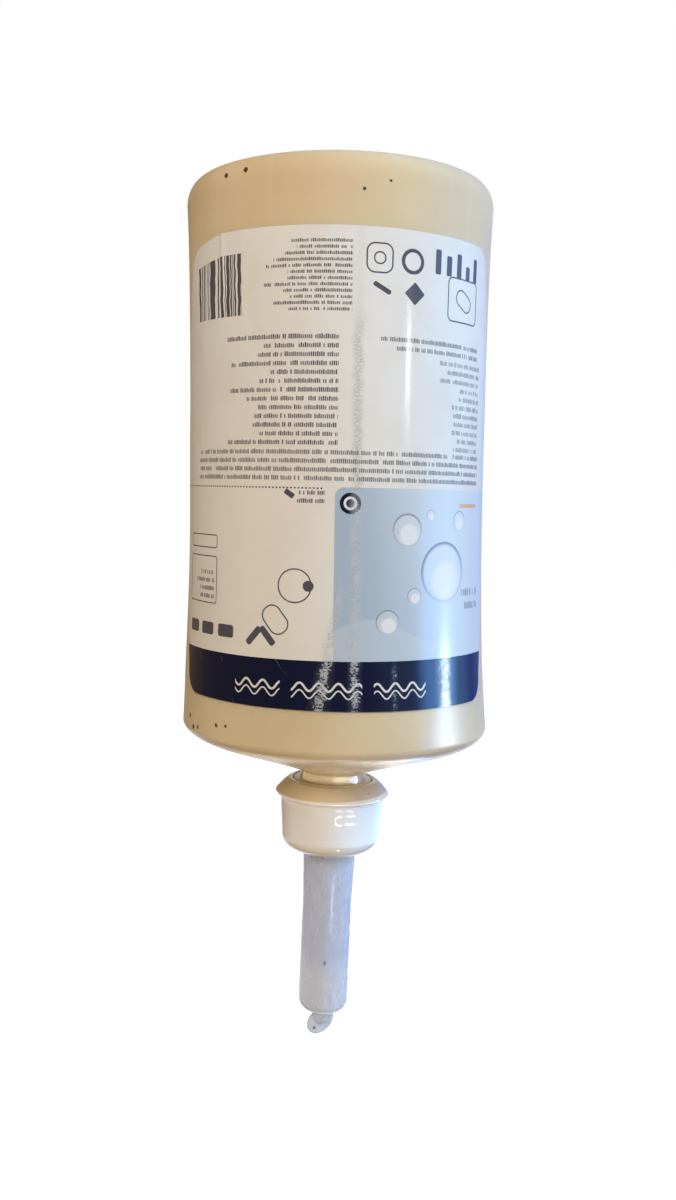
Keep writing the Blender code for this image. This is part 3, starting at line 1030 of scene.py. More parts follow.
    def wear(self, graph: Graph, place: Socket) -> tuple[Socket, Socket]:
        """Where the ink is rubbed off, and where the rubbed film is soiled, with painted shade along the upper
        crease.

        Args:
            graph: The material's nodes.
            place: The place on the flat label.

        Returns:
            The mask of bared film, and the mask of soiling together with the painted crease shade.
        """
        across, height, _ = graph.split(place)
        fine = graph.noise(graph.vector("MULTIPLY", place, (0.7, 1.1, 1.0)), 1.7, 5.0, 0.72)
        coarse = graph.noise(place, 0.30, 3.0, 0.6)
        ridge_at = graph.math("MULTIPLY_ADD", graph.noise(graph.joined(0.0, height), 0.16, 2.0), 2.6, 4.2)
        from_ridge = graph.away(across, ridge_at)
        lower = graph.fading(height, -16.0, 6.0)
        strength = graph.math("MULTIPLY_ADD", lower, 0.75, 0.25)
        ridge = graph.times(graph.fading(from_ridge, 0.3, 3.0), strength, graph.below(height, 36.0))
        streak_at = graph.math("MULTIPLY_ADD", height, 0.165, 6.6)
        from_streak = graph.away(across, streak_at)
        widening = graph.spread(height, -65.0, -28.0, 4.4, 1.6)
        streak = graph.fading(graph.math("DIVIDE", from_streak, widening), 0.1, 1.0)
        streak = graph.times(streak, graph.fading(height, -34.0, -28.0))
        third = graph.fading(graph.away(across, 16.6), 0.1, 1.7)
        third = graph.times(third, graph.spread(height, -54.0, -49.0, 0.75, 0.0))
        scuff = graph.spread(graph.vector("DISTANCE", place, (15.5, -15.5, 0.0)), 0.5, 4.2, 0.8, 0.0)
        rubbed = graph.most(ridge, streak, third, scuff)
        ragged = graph.math("ADD", graph.times(fine, 0.75), graph.times(coarse, 0.35))
        level = graph.math("SUBTRACT", graph.math("ADD", ragged, graph.times(rubbed, 0.30)), 0.81)
        bared = graph.times(graph.spread(level, 0.0, 0.07), graph.spread(rubbed, 0.02, 0.3))
        haze = graph.times(graph.spread(rubbed, 0.05, 0.9), graph.spread(height, -52.0, -50.0, 0.06, 0.42))
        bared = graph.most(bared, graph.times(haze, graph.spread(coarse, 0.3, 0.6, 0.5, 1.0)))
        chips = graph.noise(graph.vector("ADD", place, (31.0, 17.0, 0.0)), 1.3, 4.0, 0.75)
        soil_and_crease_shade = graph.times(graph.spread(chips, 0.61, 0.66), graph.spread(rubbed, 0.05, 0.5), 0.65)
        # Painted shade: a soft grey line along the crease ridge of the upper label.
        shade = graph.times(graph.spread(from_ridge, 0.2, 2.2, 0.42, 0.0), graph.spread(fine, 0.35, 0.6))
        above = graph.times(graph.spread(height, -6.0, -1.0), graph.spread(height, 34.0, 46.0, 1.0, 0.2))
        soil_and_crease_shade = graph.most(soil_and_crease_shade, graph.times(shade, above))
        return bared, soil_and_crease_shade

    def scratches(self, graph: Graph, place: Socket) -> Socket:
        """Fine slanting scratches, in patches.

        Args:
            graph: The material's nodes.
            place: The place on the flat label.

        Returns:
            The mask.
        """
        slanting = graph.turned(place, self.scratch_slant)
        stretched = graph.vector("MULTIPLY", slanting, (0.10, 4.2, 1.0))
        lines = graph.spread(graph.noise(stretched, 1.0, 1.0), 0.735, 0.76)
        return graph.times(lines, graph.spread(graph.noise(place, 0.12, 1.0), 0.50, 0.60))

    def printed(self, graph: Graph, place: Socket) -> Socket:
        """The film's colour as it was printed, before any wear, with painted light on the ground and a painted
        sheen on the panel.

        Args:
            graph: The material's nodes.
            place: The place on the flat label.

        Returns:
            The colour.
        """
        across, height, _ = graph.split(place)
        mottle = graph.spread(graph.noise(place, 0.07, 3.0), 0.35, 0.7, 0, 0.7)
        # Painted light: the ground turns a more neutral white upward, for the whiter light from above.
        ground = graph.over(self.ground, self.ground_top_painted_light, graph.spread(height, -10.0, 40.0))
        colour = graph.over(ground, tuple(0.94 * part for part in self.ground), mottle)

        # The panel fades paler toward the right. This is partly its printed gradient and partly a painted
        # sheen of the window light.
        fade = graph.spread(graph.math("ADD", across, graph.times(height, 0.2)), -2.0, 34.0)
        panel = graph.over(self.panel, self.panel_pale_and_sheen, fade)
        wave_line = graph.math("MULTIPLY_ADD", graph.math("SINE", graph.times(across, 0.16)), 3.2, -43.0)
        panel = graph.over(panel, self.panel_pale_and_sheen, graph.times(graph.below(height, wave_line), 0.35))
        body, rim, foot = self.bubble_layers(graph, place)
        lit = graph.over(panel, self.bubble, 0.30)
        panel = graph.over(panel, graph.over(lit, self.bubble, foot), body)
        panel = graph.over(panel, self.bubble_shade, graph.times(rim, 0.8))
        wide, tall = self.panel_size
        middle = (self.panel_left + wide / 2, self.panel_top - tall / 2)
        panel_area = self.mask(graph, place, Shape(middle, self.panel_size, self.panel_corner))
        colour = graph.over(colour, panel, panel_area)

        inked = [self.mask(graph, place, shape) for shape in self.outlines + self.solids]
        inked += [self.rows_mask(graph, across, height, block) for block in self.blocks]
        inked.append(self.stripes_mask(graph, across, height))
        dotted = graph.below(graph.math("FRACT", graph.math("DIVIDE", across, self.dot_pitch)), 0.5)
        dots = graph.times(graph.below(graph.away(height, self.dots_height), 0.22), dotted)
        inked.append(graph.times(dots, graph.below(across, self.dots_right)))
        colour = graph.over(colour, self.ink, graph.times(graph.most(*inked), 0.92))
        colour = graph.over(colour, self.orange, graph.times(self.mask(graph, place, self.accent), 0.8))
        colour = graph.over(colour, self.navy, self.mask(graph, place, self.badge))
        colour = graph.over(colour, self.bubble, self.mask(graph, place, self.badge_ring))
        colour = graph.over(colour, self.navy, graph.below(height, self.band_top))
        return graph.over(colour, self.band_waves, self.waves_mask(graph, across, height))

    def material(self, label: Label) -> Material:
        """Make the material, layer by layer as the film was printed and then worn, with painted light and
        shade among the layers.

        Args:
            label: The label, whose print map gives the places.

        Returns:
            The material.
        """
        graph = Graph("printed_film")
        chart = graph.node("UVMap", uv_map="print")
        scale = label.unit / MM
        place = graph.vector("SUBTRACT", chart.outputs["UV"], (0.5, 0.5, 0.0))
        place = graph.vector("MULTIPLY", place, (scale, scale, 0.0))
        bared, soil_and_crease_shade = self.wear(graph, place)
        colour = graph.over(self.printed(graph, place), self.bared, graph.times(bared, 0.85))
        # Soiling, and painted shade along the crease.
        colour = graph.over(colour, self.soil_and_crease_shade, soil_and_crease_shade)
        lines = self.scratches(graph, place)
        colour = graph.over(colour, self.bared, graph.times(lines, 0.35))
        worn = graph.most(bared, graph.times(lines, 0.6))
        rough = graph.over((self.gloss,) * 3, (0.55,) * 3, worn)
        graph.shade(base_color=colour, roughness=rough, ior=1.48, specular_IOR_level=0.5)
        graph.shade(subsurface_weight=0.0)
        crinkle = graph.noise(place, 0.55, 2.0)
        pits = graph.noise(place, 2.4, 4.0, 0.7)
        graph.relief((crinkle, 0.03, 0.0005), (graph.times(pits, worn), 0.6, 0.0002))
        return graph.owner


# Collar


@dataclass
class Collar:
    """The white ring that is pushed over the finish: domed brim, round cup, mouth lip and bore."""

    bottle: Bottle
    seat_gap: float = 0.0003
    brim_radius: float = 0.0179
    brim_edge: float = 0.0011
    brim_crown: float = 0.0004
    mouth_lip_width: float = 0.0012
    cup_top_radius: float = 0.0166
    cup_fillet: Point = (0.0002, 0.0004)
    cup_foot_radius: float = 0.0157
    cup_depth: float = 0.0177
    cup_corner: float = 0.0052
    cup_floor: float = 0.0018
    cup_bore_chamfer: float = 0.0014
    lip_depth: float = 0.0034
    hole_radius: float = 0.0088
    rounding: float = 0.00016
    sides: int = 200

    def profile(self) -> list[Point]:
        """From the mouth's lip, over the brim, down the cup and back up its bore.

        Returns:
            The profile.
        """
        top = self.bottle.brim_top
        edge = self.brim_edge / 2
        mouth = self.bottle.neck_ring_radius + self.seat_gap
        bore = self.bottle.finish_radius + self.seat_gap
        floor = self.cup_floor - self.cup_depth
        lip_foot = top - self.lip_depth
        points = [(mouth, top), (mouth + self.mouth_lip_width, top)]
        rim = arc((self.brim_radius - edge, edge), (edge, edge), 60, -90, 14)
        steps = 10
        for step in range(1, steps):
            share = step / steps
            radius = points[1][0] + (rim[0][0] - points[1][0]) * share
            height = points[1][1] + (rim[0][1] - points[1][1]) * share
            points.append((radius, height + self.brim_crown * 4 * share * (1 - share)))
        points += rim
        points += [(self.cup_top_radius + self.cup_fillet[0], 0), (self.cup_top_radius, -self.cup_fillet[1])]
        wall_foot = self.cup_corner - self.cup_depth
        rows = 8
        for row in range(1, rows):
            share = row / rows
            radius = self.cup_top_radius + (self.cup_foot_radius - self.cup_top_radius) * share
            points.append((radius, (wall_foot + self.cup_fillet[1]) * share - self.cup_fillet[1]))
        corner = (self.cup_corner, self.cup_corner)
        points += arc((self.cup_foot_radius - self.cup_corner, wall_foot), corner, 0, -90, 22)
        points += [
            (self.hole_radius, -self.cup_depth),
            (self.hole_radius, floor),
            (bore - self.cup_bore_chamfer, floor),
            (bore, floor + self.cup_bore_chamfer),
            (bore, lip_foot),
            (mouth, lip_foot),
            (mouth, top),
        ]
        return points

    def model(self) -> Thing:
        """Turn the collar, round its edges and lean it with the pump.

        Returns:
            The finished mesh, in its place.
        """
        piece = Bench.turned("collar_moulded", self.profile(), self.sides)
        Bench.soften(piece, self.rounding, 2, math.radians(38))
        Bench.tilt(piece, self.bottle.lean)
        Bench.smooth(piece, math.radians(35))
        return piece


@dataclass(frozen=True)
class WhitePlastic:
    """Glossy white moulded plastic, a little yellowed, with a few specks, and painted shade and reflection of
    the cream bottle on the brim's top.
    """

    white: Colour = (0.92, 0.90, 0.875)
    aged: Colour = (0.86, 0.83, 0.78)
    dirt: Colour = (0.16, 0.10, 0.07)
    # Painted shade and reflection of the cream bottle on the brim's top: brown at the left, duller pink toward
    # the right.
    brim_painted_shade_reflection: Colour = (0.74, 0.605, 0.39)
    brim_right_painted_shade: Colour = (0.61, 0.485, 0.365)
    brim_shade_foot: Point = (0.0010, 0.0016)
    roughness: float = 0.025

    def material(self, marks: Iterable[Speck]) -> Material:
        """Make the material.

        Args:
            marks: Centre and radius of each dark speck.

        Returns:
            The material.
        """
        graph = Graph("white_plastic")
        point = graph.object_point()
        across, _, height = graph.split(point)
        cloud = graph.noise(point, 70.0, 3.0)
        colour = graph.over(self.white, self.aged, graph.times(graph.spread(cloud, 0.42, 0.75), 0.6))
        # Painted shade and reflection: the brim's top is tinted brown from the bottle above it, most of all at
        # the left.
        on_brim = graph.spread(height, *self.brim_shade_foot)
        on_brim = graph.times(on_brim, graph.spread(across, -0.016, 0.016, 1.0, 0.85))
        brim_painted_shade = graph.over(self.brim_painted_shade_reflection, self.brim_right_painted_shade, graph.spread(across, -0.004, 0.012))
        colour = graph.over(colour, brim_painted_shade, on_brim)
        colour = graph.over(colour, self.dirt, graph.times(graph.specks(point, marks), 0.8))
        haze = graph.noise(point, 260.0, 4.0)
        rough = graph.spread(haze, 0.45, 0.8, self.roughness, self.roughness + 0.015)
        graph.shade(base_color=colour, roughness=rough, ior=1.5, specular_IOR_level=0.55)
        graph.shade(subsurface_weight=0.15, subsurface_scale=0.002)
        sink = graph.noise(point, 95.0, 1.0)
        graph.relief((sink, 0.003, 0.0005), (haze, 0.002, 0.00003))
        return graph.owner


# Pump


@dataclass
class Sleeve:
    """The soft hazy tube that is squeezed, with its nib and twist-off tab in one moulding."""

    bottle: Bottle
    collar: Collar
    top_radius: float = 0.0085
    radius: float = 0.0079
    taper_foot: float = -0.0340
    end: float = -0.0713
    corner: float = 0.0040
    wall: float = 0.0008
    flange_radius: float = 0.0119
    flange: float = 0.0010
    nib_radius: float = 0.0026
    nib_length: float = 0.0046
    nib_rounding: float = 0.0009
    nib_hollow: float = 0.0005
    tab_size: Place = (0.0076, 0.0018, 0.0099)
    tab_overhang: float = 0.0045
    tab_shift: float = 0.0006
    tab_turn: float = math.radians(15.0)
    tab_tilt: float = math.radians(42.0)
    rounding: float = 0.00012
    sides: int = 144

    @property
    def flange_foot(self) -> float:
        """Height of the clamped flange's underside."""
        return self.collar.cup_floor - self.collar.cup_depth + self.collar.seat_gap

    def profile(self) -> list[Point]:
        """From the axis at the closed end, up the outside, over the flange and down the bore.

        Returns:
            The profile.
        """
        centre = (self.radius - self.corner, self.end + self.corner)
        inner = self.corner - self.wall
        bore_top = self.top_radius - self.wall
        cup_foot = -self.collar.cup_depth
        top = self.flange_foot + self.flange
        rows = 24
        points = [(0, self.end)]
        points += arc(centre, (self.corner, self.corner), -90, 0, 20)
        tube_foot = points[-1][1]
        straight = self.taper_foot - tube_foot
        for row in range(1, rows + 1):
            points.append((self.radius, tube_foot + straight * row / rows))
        points += [
            (self.top_radius, cup_foot),
            (self.top_radius, self.flange_foot),
            (self.flange_radius, self.flange_foot),
            (self.flange_radius, top),
            (bore_top, top),
            (bore_top, cup_foot),
        ]
        for row in range(rows + 1):
            points.append((self.radius - self.wall, self.taper_foot - straight * row / rows))
        points += arc(centre, (inner, inner), 0, -90, 18)[1:]
        points += [(0, self.end + self.wall)]
        return points

    def nib(self) -> Thing:
        """The outlet nib, round at its end, with a shallow hollow there.

        Returns:
            The nib, still upright.
        """
        root = self.end + self.wall / 2
        foot = self.end - self.nib_length
        rounding = (self.nib_rounding, self.nib_rounding)
        profile = [(0, root), (self.nib_radius, root)]
        profile += arc((self.nib_radius - self.nib_rounding, foot + self.nib_rounding), rounding, 0, -90, 8)
        hollow = foot + self.nib_hollow
        profile += [(self.nib_radius * 0.45, foot), (self.nib_radius * 0.38, hollow), (0, hollow)]
        return Bench.turned("nib", profile, self.sides // 3)

    def tab(self) -> Thing:
        """The flat oval tab, thinner at its middle, turned and tilted on the nib's end.

        Returns:
            The tab.
        """
        middle = self.end - self.nib_length - self.tab_overhang + self.tab_size[2] / 2
        Bench.take(None)
        bpy.ops.mesh.primitive_uv_sphere_add(segments=48, ring_count=32, radius=0.5)
        piece = bpy.context.object
        piece.scale = self.tab_size
        bpy.ops.object.transform_apply(location=True, rotation=True, scale=True)
        for vert in piece.data.vertices:
            across = vert.co.x / (self.tab_size[0] / 2)
            along = vert.co.z / (self.tab_size[2] / 2)
            vert.co.y *= 0.55 + 0.75 * min(across**2 + along**2, 1)
        piece.data.transform(
            Matrix.Translation((-self.tab_shift, 0, middle))
            @ Matrix.Rotation(self.tab_turn, 4, "Z")
            @ Matrix.Rotation(self.tab_tilt, 4, "Y")
        )
        return piece

    def model(self) -> Thing:
        """Turn the tube, join nib and tab to it and lean it with the pump.

        Returns:
            The finished mesh, in its place.
        """
        piece = Bench.turned("pump_tube", self.profile(), self.sides)
        Bench.soften(piece, self.rounding, 2, math.radians(40))
        Bench.unite(piece, self.nib())
        Bench.unite(piece, self.tab())
        Bench.tilt(piece, self.bottle.lean)
        Bench.smooth(piece, math.radians(38))
        return piece


@dataclass
class Valve:
    """Inlet cup, ribbed stem and outlet valve, which show faintly through the sleeve."""

    bottle: Bottle
    sleeve: Sleeve
    flange_radius: float = 0.0104
    flange: float = 0.0011
    cup_clearance: float = 0.0004
    cup_wall: float = 0.0012
    cup_foot: float = -0.0300
    cup_web: float = 0.0020
    stem_radius: float = 0.0013
    rib_radius: float = 0.0020
    rib_width: float = 0.0012
    rib_pitch: float = 0.0075
    outlet_radius: float = 0.0045
    outlet_cone: float = 0.0040
    outlet_height: float = 0.0125
    outlet_chamfer: float = 0.0016
    rounding: float = 0.0002
    sides: int = 96

    def profile(self) -> list[Point]:
        """From the axis at the top, over the flange, down the inlet cup, stem and outlet valve.

        Returns:
            The profile.
        """
        sleeve = self.sleeve
        gap = sleeve.collar.seat_gap
        flange_foot = sleeve.flange_foot + sleeve.flange + gap
        flange_top = flange_foot + self.flange
        share = (self.cup_foot - sleeve.taper_foot) / (-sleeve.collar.cup_depth - sleeve.taper_foot)
        bore = sleeve.radius + (sleeve.top_radius - sleeve.radius) * share - sleeve.wall
        cup = bore - self.cup_clearance
        outlet_foot = sleeve.end + sleeve.wall + gap
        outlet_top = outlet_foot + self.outlet_height
        web_foot = flange_foot - self.cup_web
        points = [
            (0, flange_top),
            (self.flange_radius, flange_top),
            (self.flange_radius, flange_foot),
            (cup, flange_foot),
            (cup, self.cup_foot),
            (cup - self.cup_wall, self.cup_foot),
            (cup - self.cup_wall, web_foot),
            (self.stem_radius, web_foot),
        ]
        rib = self.cup_foot - self.rib_pitch / 2
        while rib - self.rib_width > outlet_top + self.rib_pitch / 2:
            foot = rib - self.rib_width
            points += [(self.stem_radius, rib), (self.rib_radius, rib)]
            points += [(self.rib_radius, foot), (self.stem_radius, foot)]
            rib -= self.rib_pitch
        points += [
            (self.stem_radius, outlet_top),
            (self.outlet_radius, outlet_top - self.outlet_cone),
            (self.outlet_radius, outlet_foot + self.outlet_chamfer),
            (self.outlet_radius - self.outlet_chamfer, outlet_foot),
            (0, outlet_foot),
        ]
        return points

    def model(self) -> Thing:
        """Turn the valve, round its edges and lean it with the pump.

        Returns:
            The finished mesh, in its place.
        """
        piece = Bench.turned("valve_moulded", self.profile(), self.sides)
        Bench.soften(piece, self.rounding, 3, math.radians(30))
        Bench.tilt(piece, self.bottle.lean)
        Bench.smooth(piece, math.radians(35))
        return piece


@dataclass(frozen=True)
class HazyPlastic:
    """Clear soft plastic gone hazy: lavender grey, seen through but not sharply, with painted light below the
    cup and painted shade on the nib and tab.
    """

    tint: Colour = (0.735, 0.775, 0.91)
    milk: Colour = (0.775, 0.82, 0.95)
    # Pale of the tube's lower end, and also painted light just below the cup.
    pale: Colour = (0.87, 0.90, 0.99)
    # Painted shade: the nib and tab's own tone, set apart from the lit tube.
    tip: Colour = (0.75, 0.78, 0.88)
    tip_shade_top: float = -0.0716
    lower_pale: Point = (-0.059, -0.050)
    upper_painted_light: Point = (-0.024, -0.019)
    dirt: Colour = (0.12, 0.10, 0.10)
    roughness: float = 0.26

    def material(self, marks: Iterable[Speck]) -> Material:
        """Make the material.

        Args:
            marks: Centre and radius of each dark speck.

        Returns:
            The material.
        """
        graph = Graph("hazy_plastic")
        point = graph.object_point()
        cloud = graph.noise(graph.vector("MULTIPLY", point, (1.0, 1.0, 0.35)), 150.0, 4.0)
        height = graph.split(point)[2]
        colour = graph.over(self.tint, self.milk, graph.spread(cloud, 0.35, 0.7))
        # Paler toward the lower end, with painted light just below the cup against the cup's shadow.
        ends = graph.most(graph.fading(height, *self.lower_pale), graph.spread(height, *self.upper_painted_light))
        colour = graph.over(colour, self.pale, ends)
        # Painted shade on the nib and tab, below the tube's closed end.
        colour = graph.over(colour, self.tip, graph.below(height, self.tip_shade_top))
        colour = graph.over(colour, self.dirt, graph.times(graph.specks(point, marks), 0.9))
        rough = graph.spread(cloud, 0.3, 0.75, self.roughness, self.roughness + 0.03)
        graph.shade(base_color=colour, roughness=rough, ior=1.45, transmission_weight=0.42)
        graph.shade(specular_IOR_level=0.35, coat_weight=0.4, coat_roughness=0.04)
        graph.relief((graph.noise(point, 130.0, 1.0), 0.01, 0.0002), (cloud, 0.01, 0.00005))
        return graph.owner


@dataclass(frozen=True)
class NaturalPlastic:
    """Undyed moulded plastic of the valve, milky white."""

    milky: Colour = (0.72, 0.73, 0.78)
    dull: Colour = (0.62, 0.63, 0.69)

    def material(self) -> Material:
        """Make the material.

        Returns:
            The material.
        """
        graph = Graph("natural_plastic")
        point = graph.object_point()
        cloud = graph.noise(point, 220.0, 3.0)
        colour = graph.over(self.milky, self.dull, graph.spread(cloud, 0.4, 0.7))
        graph.shade(base_color=colour, roughness=graph.spread(cloud, 0.3, 0.7, 0.48, 0.60), ior=1.5)
        graph.shade(specular_IOR_level=0.2, subsurface_weight=0.2, subsurface_scale=0.002)
        graph.relief((graph.noise(point, 1200.0, 2.0), 0.08, 0.00008))
        return graph.owner


# Studio


@dataclass(frozen=True)
class Lamp:
    """A soft lamp: where it stands, what it faces, its sizes, power and colour."""

    name: str
    place: Place
    aim: Place
    size: Point
    power: float
    colour: Colour
    spread: float = 180.0


@dataclass(frozen=True)
class Pane:
    """A bright patch of the surround, in degrees: where it is seen, its half sizes and soft rim."""

    azimuth: float
    elevation: float
    half_width: float
    half_height: float
    rim: float
    light: Colour


@dataclass(frozen=True)
class Wall:
    """A round upright wall: its radius at height 0, and how fast that grows with the height."""

    radius: float
    narrowing: float = 0.0


@dataclass(frozen=True)
class Glint:
    """A glint on a round wall below the bottle: its place and half sizes there, and its light.

    Angles are in degrees from the front, and reach is how far off its card stands.
    """

    wall: Wall
    angle: float
    height: float
    half_angle: float
    half_height: float
    light: Colour
    reach: float = 0.030


CUP = Wall(0.0166, 0.072)
TUBE = Wall(0.0079)
NECK = Wall(0.0103)
CUP_WINDOWS = (
    (5.2, -0.0050, 0.7, 0.0013),
    (8.6, -0.0036, 2.6, 0.00028),
    (9.2, -0.0062, 2.4, 0.00028),
    (22.0, -0.0033, 4.6, 0.00026),
    (21.5, -0.0058, 5.2, 0.00028),
)
CUP_SHEEN = (
    (-6.0, 4.0, (0.2, 0.5, 0.9)),
    (2.0, 4.0, (0.4, 1.0, 2.0)),
    (10.0, 4.0, (0.8, 1.8, 3.6)),
    (20.0, 6.0, (1.2, 2.6, 4.8)),
    (32.0, 6.0, (1.3, 3.1, 6.0)),
    (44.0, 6.0, (1.2, 2.9, 5.6)),
    (56.0, 6.0, (1.2, 2.6, 4.6)),
    (68.0, 6.0, (1.1, 2.0, 3.2)),
)
NECK_SHEEN = (
    (-48.0, 16.0, (3.2, 2.4, 1.3)),
    (-16.0, 16.0, (3.2, 2.4, 1.3)),
    (16.0, 15.5, (11.0, 11.4, 9.6)),
    (40.0, 8.5, (8.0, 13.0, 21.0)),
)


@dataclass
class Studio:
    """Camera at the photograph's angle, soft lamps, a white room and a pale floor."""

    camera_place: Place = (0.00104, -0.35231, 0.09343)
    camera_down: float = 0.0906
    camera_roll: float = 0.0141
    lens: float = 33.87
    film_height: float = 36.0
    floor_height: float = -0.150
    floor_reach: float = 4.0
    floor_bounce: Colour = (0.52, 0.41, 0.27)
    floor_seen: Colour = (0.80, 0.80, 0.80)
    floor_fade: Point = (0.12, 0.8)
    floor_glow: Point = (0.70, 0.92)
    ambient: Colour = (0.29, 0.26, 0.23)
    ambient_levels: Point = (0.05, 0.75)
    ambient_falls: Point = (1.8, 0.4)
    lamps: tuple[Lamp, ...] = (
        Lamp("window_right", (0.770, -0.240, 0.520), (0.0, 0.0, 0.07), (0.34, 0.34), 6.2, (0.38, 0.68, 1.0)),
        Lamp("room_front", (-0.110, -0.660, 0.500), (0.0, 0.0, 0.10), (0.5, 0.3), 3.6, (1.0, 0.90, 0.79)),
        Lamp("window_back", (0.613, 0.514, 0.300), (0.0, 0.0, 0.07), (0.3, 0.3), 3.0, (1.0, 0.97, 0.95)),
        Lamp(
            "low_front", (-0.020, -0.300, -0.030), (0.0, 0.0, 0.013), (0.02, 0.012),
            0.0007, (1.0, 0.93, 0.88), spread=8.0,
        ),
        Lamp("wall_left", (-0.700, -0.120, 0.200), (0.0, 0.0, 0.06), (0.5, 0.5), 0.35, (1.0, 0.70, 0.35)),
    )
    glints: tuple[Glint, ...] = (
        *(Glint(CUP, *place, (18.0, 18.0, 18.0)) for place in CUP_WINDOWS),
        Glint(TUBE, 11.0, -0.0345, 1.0, 0.0070, (20.0, 20.5, 21.0)),
        *(Glint(CUP, angle, -0.0095, half, 0.0090, light, 0.036) for angle, half, light in CUP_SHEEN),
        *(Glint(NECK, angle, 0.0083, half, 0.0031, light) for angle, half, light in NECK_SHEEN),
    )
    strip_azimuth: float = 89.4
    strip_elevation: float = -7.0
    strip_half_sizes: Point = (3.4, 3.2)
    strip_distance: float = 1.2
    strip_light: Colour = (135.0, 168.0, 205.0)
    surround_radius: float = 1.3
    surround_tones: tuple[tuple[float, Colour], ...] = (
        (-180.0, (0.90, 0.88, 0.85)),
        (-160.0, (0.36, 0.26, 0.15)),
        (-140.0, (0.22, 0.14, 0.07)),
        (-80.0, (0.12, 0.085, 0.05)),
        (-30.0, (0.08, 0.07, 0.06)),
        (20.0, (0.10, 0.10, 0.12)),
        (55.0, (0.30, 0.42, 0.70)),
        (80.0, (0.55, 1.20, 2.60)),
        (105.0, (0.50, 1.10, 2.40)),
        (125.0, (0.15, 0.26, 0.95)),
        (155.0, (0.20, 0.32, 0.85)),
        (180.0, (0.90, 0.88, 0.85)),
    )
    panes: tuple[Pane, ...] = (
        Pane(84.0, -8.0, 16.0, 10.0, 12.0, (1.3, 3.4, 8.0)),
        Pane(180.0, -46.0, 30.0, 32.0, 14.0, (2.1, 2.1, 2.3)),
        Pane(-180.0, -46.0, 30.0, 32.0, 14.0, (2.1, 2.1, 2.3)),
        Pane(150.0, -17.0, 26.0, 4.0, 7.0, (1.0, 1.15, 1.5)),
        Pane(76.0, -27.0, 36.0, 6.0, 6.0, (0.1, 0.2, 0.6)),
        Pane(-130.0, -27.0, 50.0, 6.0, 6.0, (1.0, 1.0, 1.1)),
        Pane(51.0, 11.1, 0.9, 1.3, 0.6, (60.0, 62.0, 66.0)),
        Pane(42.5, -9.0, 1.2, 4.0, 1.5, (1.5, 2.2, 3.6)),
    )

    def add_lamp(self, lamp: Lamp) -> None:
        """Add one area lamp that faces its aim, and that gloss doesn't see.

        Args:
            lamp: The lamp.
        """
        light = bpy.data.lights.new(lamp.name, "AREA")
        light.shape = "RECTANGLE"
        light.size, light.size_y = lamp.size
        light.energy = lamp.power
        light.color = lamp.colour
        light.spread = math.radians(lamp.spread)
        holder = bpy.data.objects.new(lamp.name, light)
        holder.location = lamp.place
        facing = Vector(lamp.aim) - Vector(lamp.place)
        holder.rotation_euler = facing.to_track_quat("-Z", "Y").to_euler()
        holder.visible_glossy = False
        bpy.context.scene.collection.objects.link(holder)

    def add_camera(self) -> None:
        """Set the camera where the photograph was taken from."""
        data = bpy.data.cameras.new("camera")
        data.sensor_fit = "VERTICAL"
        data.sensor_height = self.film_height
        data.lens = self.lens
        holder = bpy.data.objects.new("camera", data)
        level = Matrix.Rotation(math.pi / 2 - self.camera_down, 4, "X")
        roll = Matrix.Rotation(self.camera_roll, 4, "Z")
        holder.matrix_world = Matrix.Translation(self.camera_place) @ level @ roll
        bpy.context.scene.collection.objects.link(holder)
        bpy.context.scene.camera = holder

    @staticmethod
    def seen_share(graph: Graph) -> Socket:
        """1 for rays that see the room by eye, in gloss or through clear plastic."""
        path = graph.node("LightPath")
        return graph.most(*(path.outputs[f"Is {ray} Ray"] for ray in ("Camera", "Glossy", "Transmission")))

    def add_room(self) -> None:
        """A white room that lights the object only softly."""
        graph = Graph("room", world=True)
        coordinates = graph.node("TexCoord")
        level = graph.math("ABSOLUTE", graph.split(coordinates.outputs["Generated"])[2])
        strength = graph.spread(level, *self.ambient_levels, *self.ambient_falls)
        graph.shade(color=self.ambient, strength=strength)
        white = graph.node("Background", WHITE)
        layers = (self.seen_share(graph), graph.shader.outputs[0], white.outputs[0])
        either = graph.node("MixShader", *layers)
        graph.feed(graph.nodes["World Output"].inputs["Surface"], either.outputs[0])
        bpy.context.scene.world = graph.owner

    def add_floor(self) -> None:
        """A pale floor below the pump, white to the eye apart from the object's soft shadow."""
        Bench.take(None)
        bpy.ops.mesh.primitive_circle_add(
            vertices=96, radius=self.floor_reach, fill_type="NGON", location=(0, 0, self.floor_height)
        )
        floor = bpy.context.object
        floor.name = "floor"
        graph = Graph("pale_floor")
        graph.nodes.remove(graph.shader)
        seen = self.seen_share(graph)
        lit = graph.node("BsdfDiffuse", graph.over(self.floor_bounce, self.floor_seen, seen))
        far = graph.vector("LENGTH", graph.object_point())
        glow = graph.times(seen, graph.spread(far, *self.floor_fade, *self.floor_glow))
        both = graph.node("AddShader", lit.outputs[0], graph.node("Emission", WHITE, glow).outputs[0])
        graph.feed(graph.nodes["Material Output"].inputs["Surface"], both.outputs[0])
        floor.data.materials.append(graph.owner)
        floor.visible_glossy = False

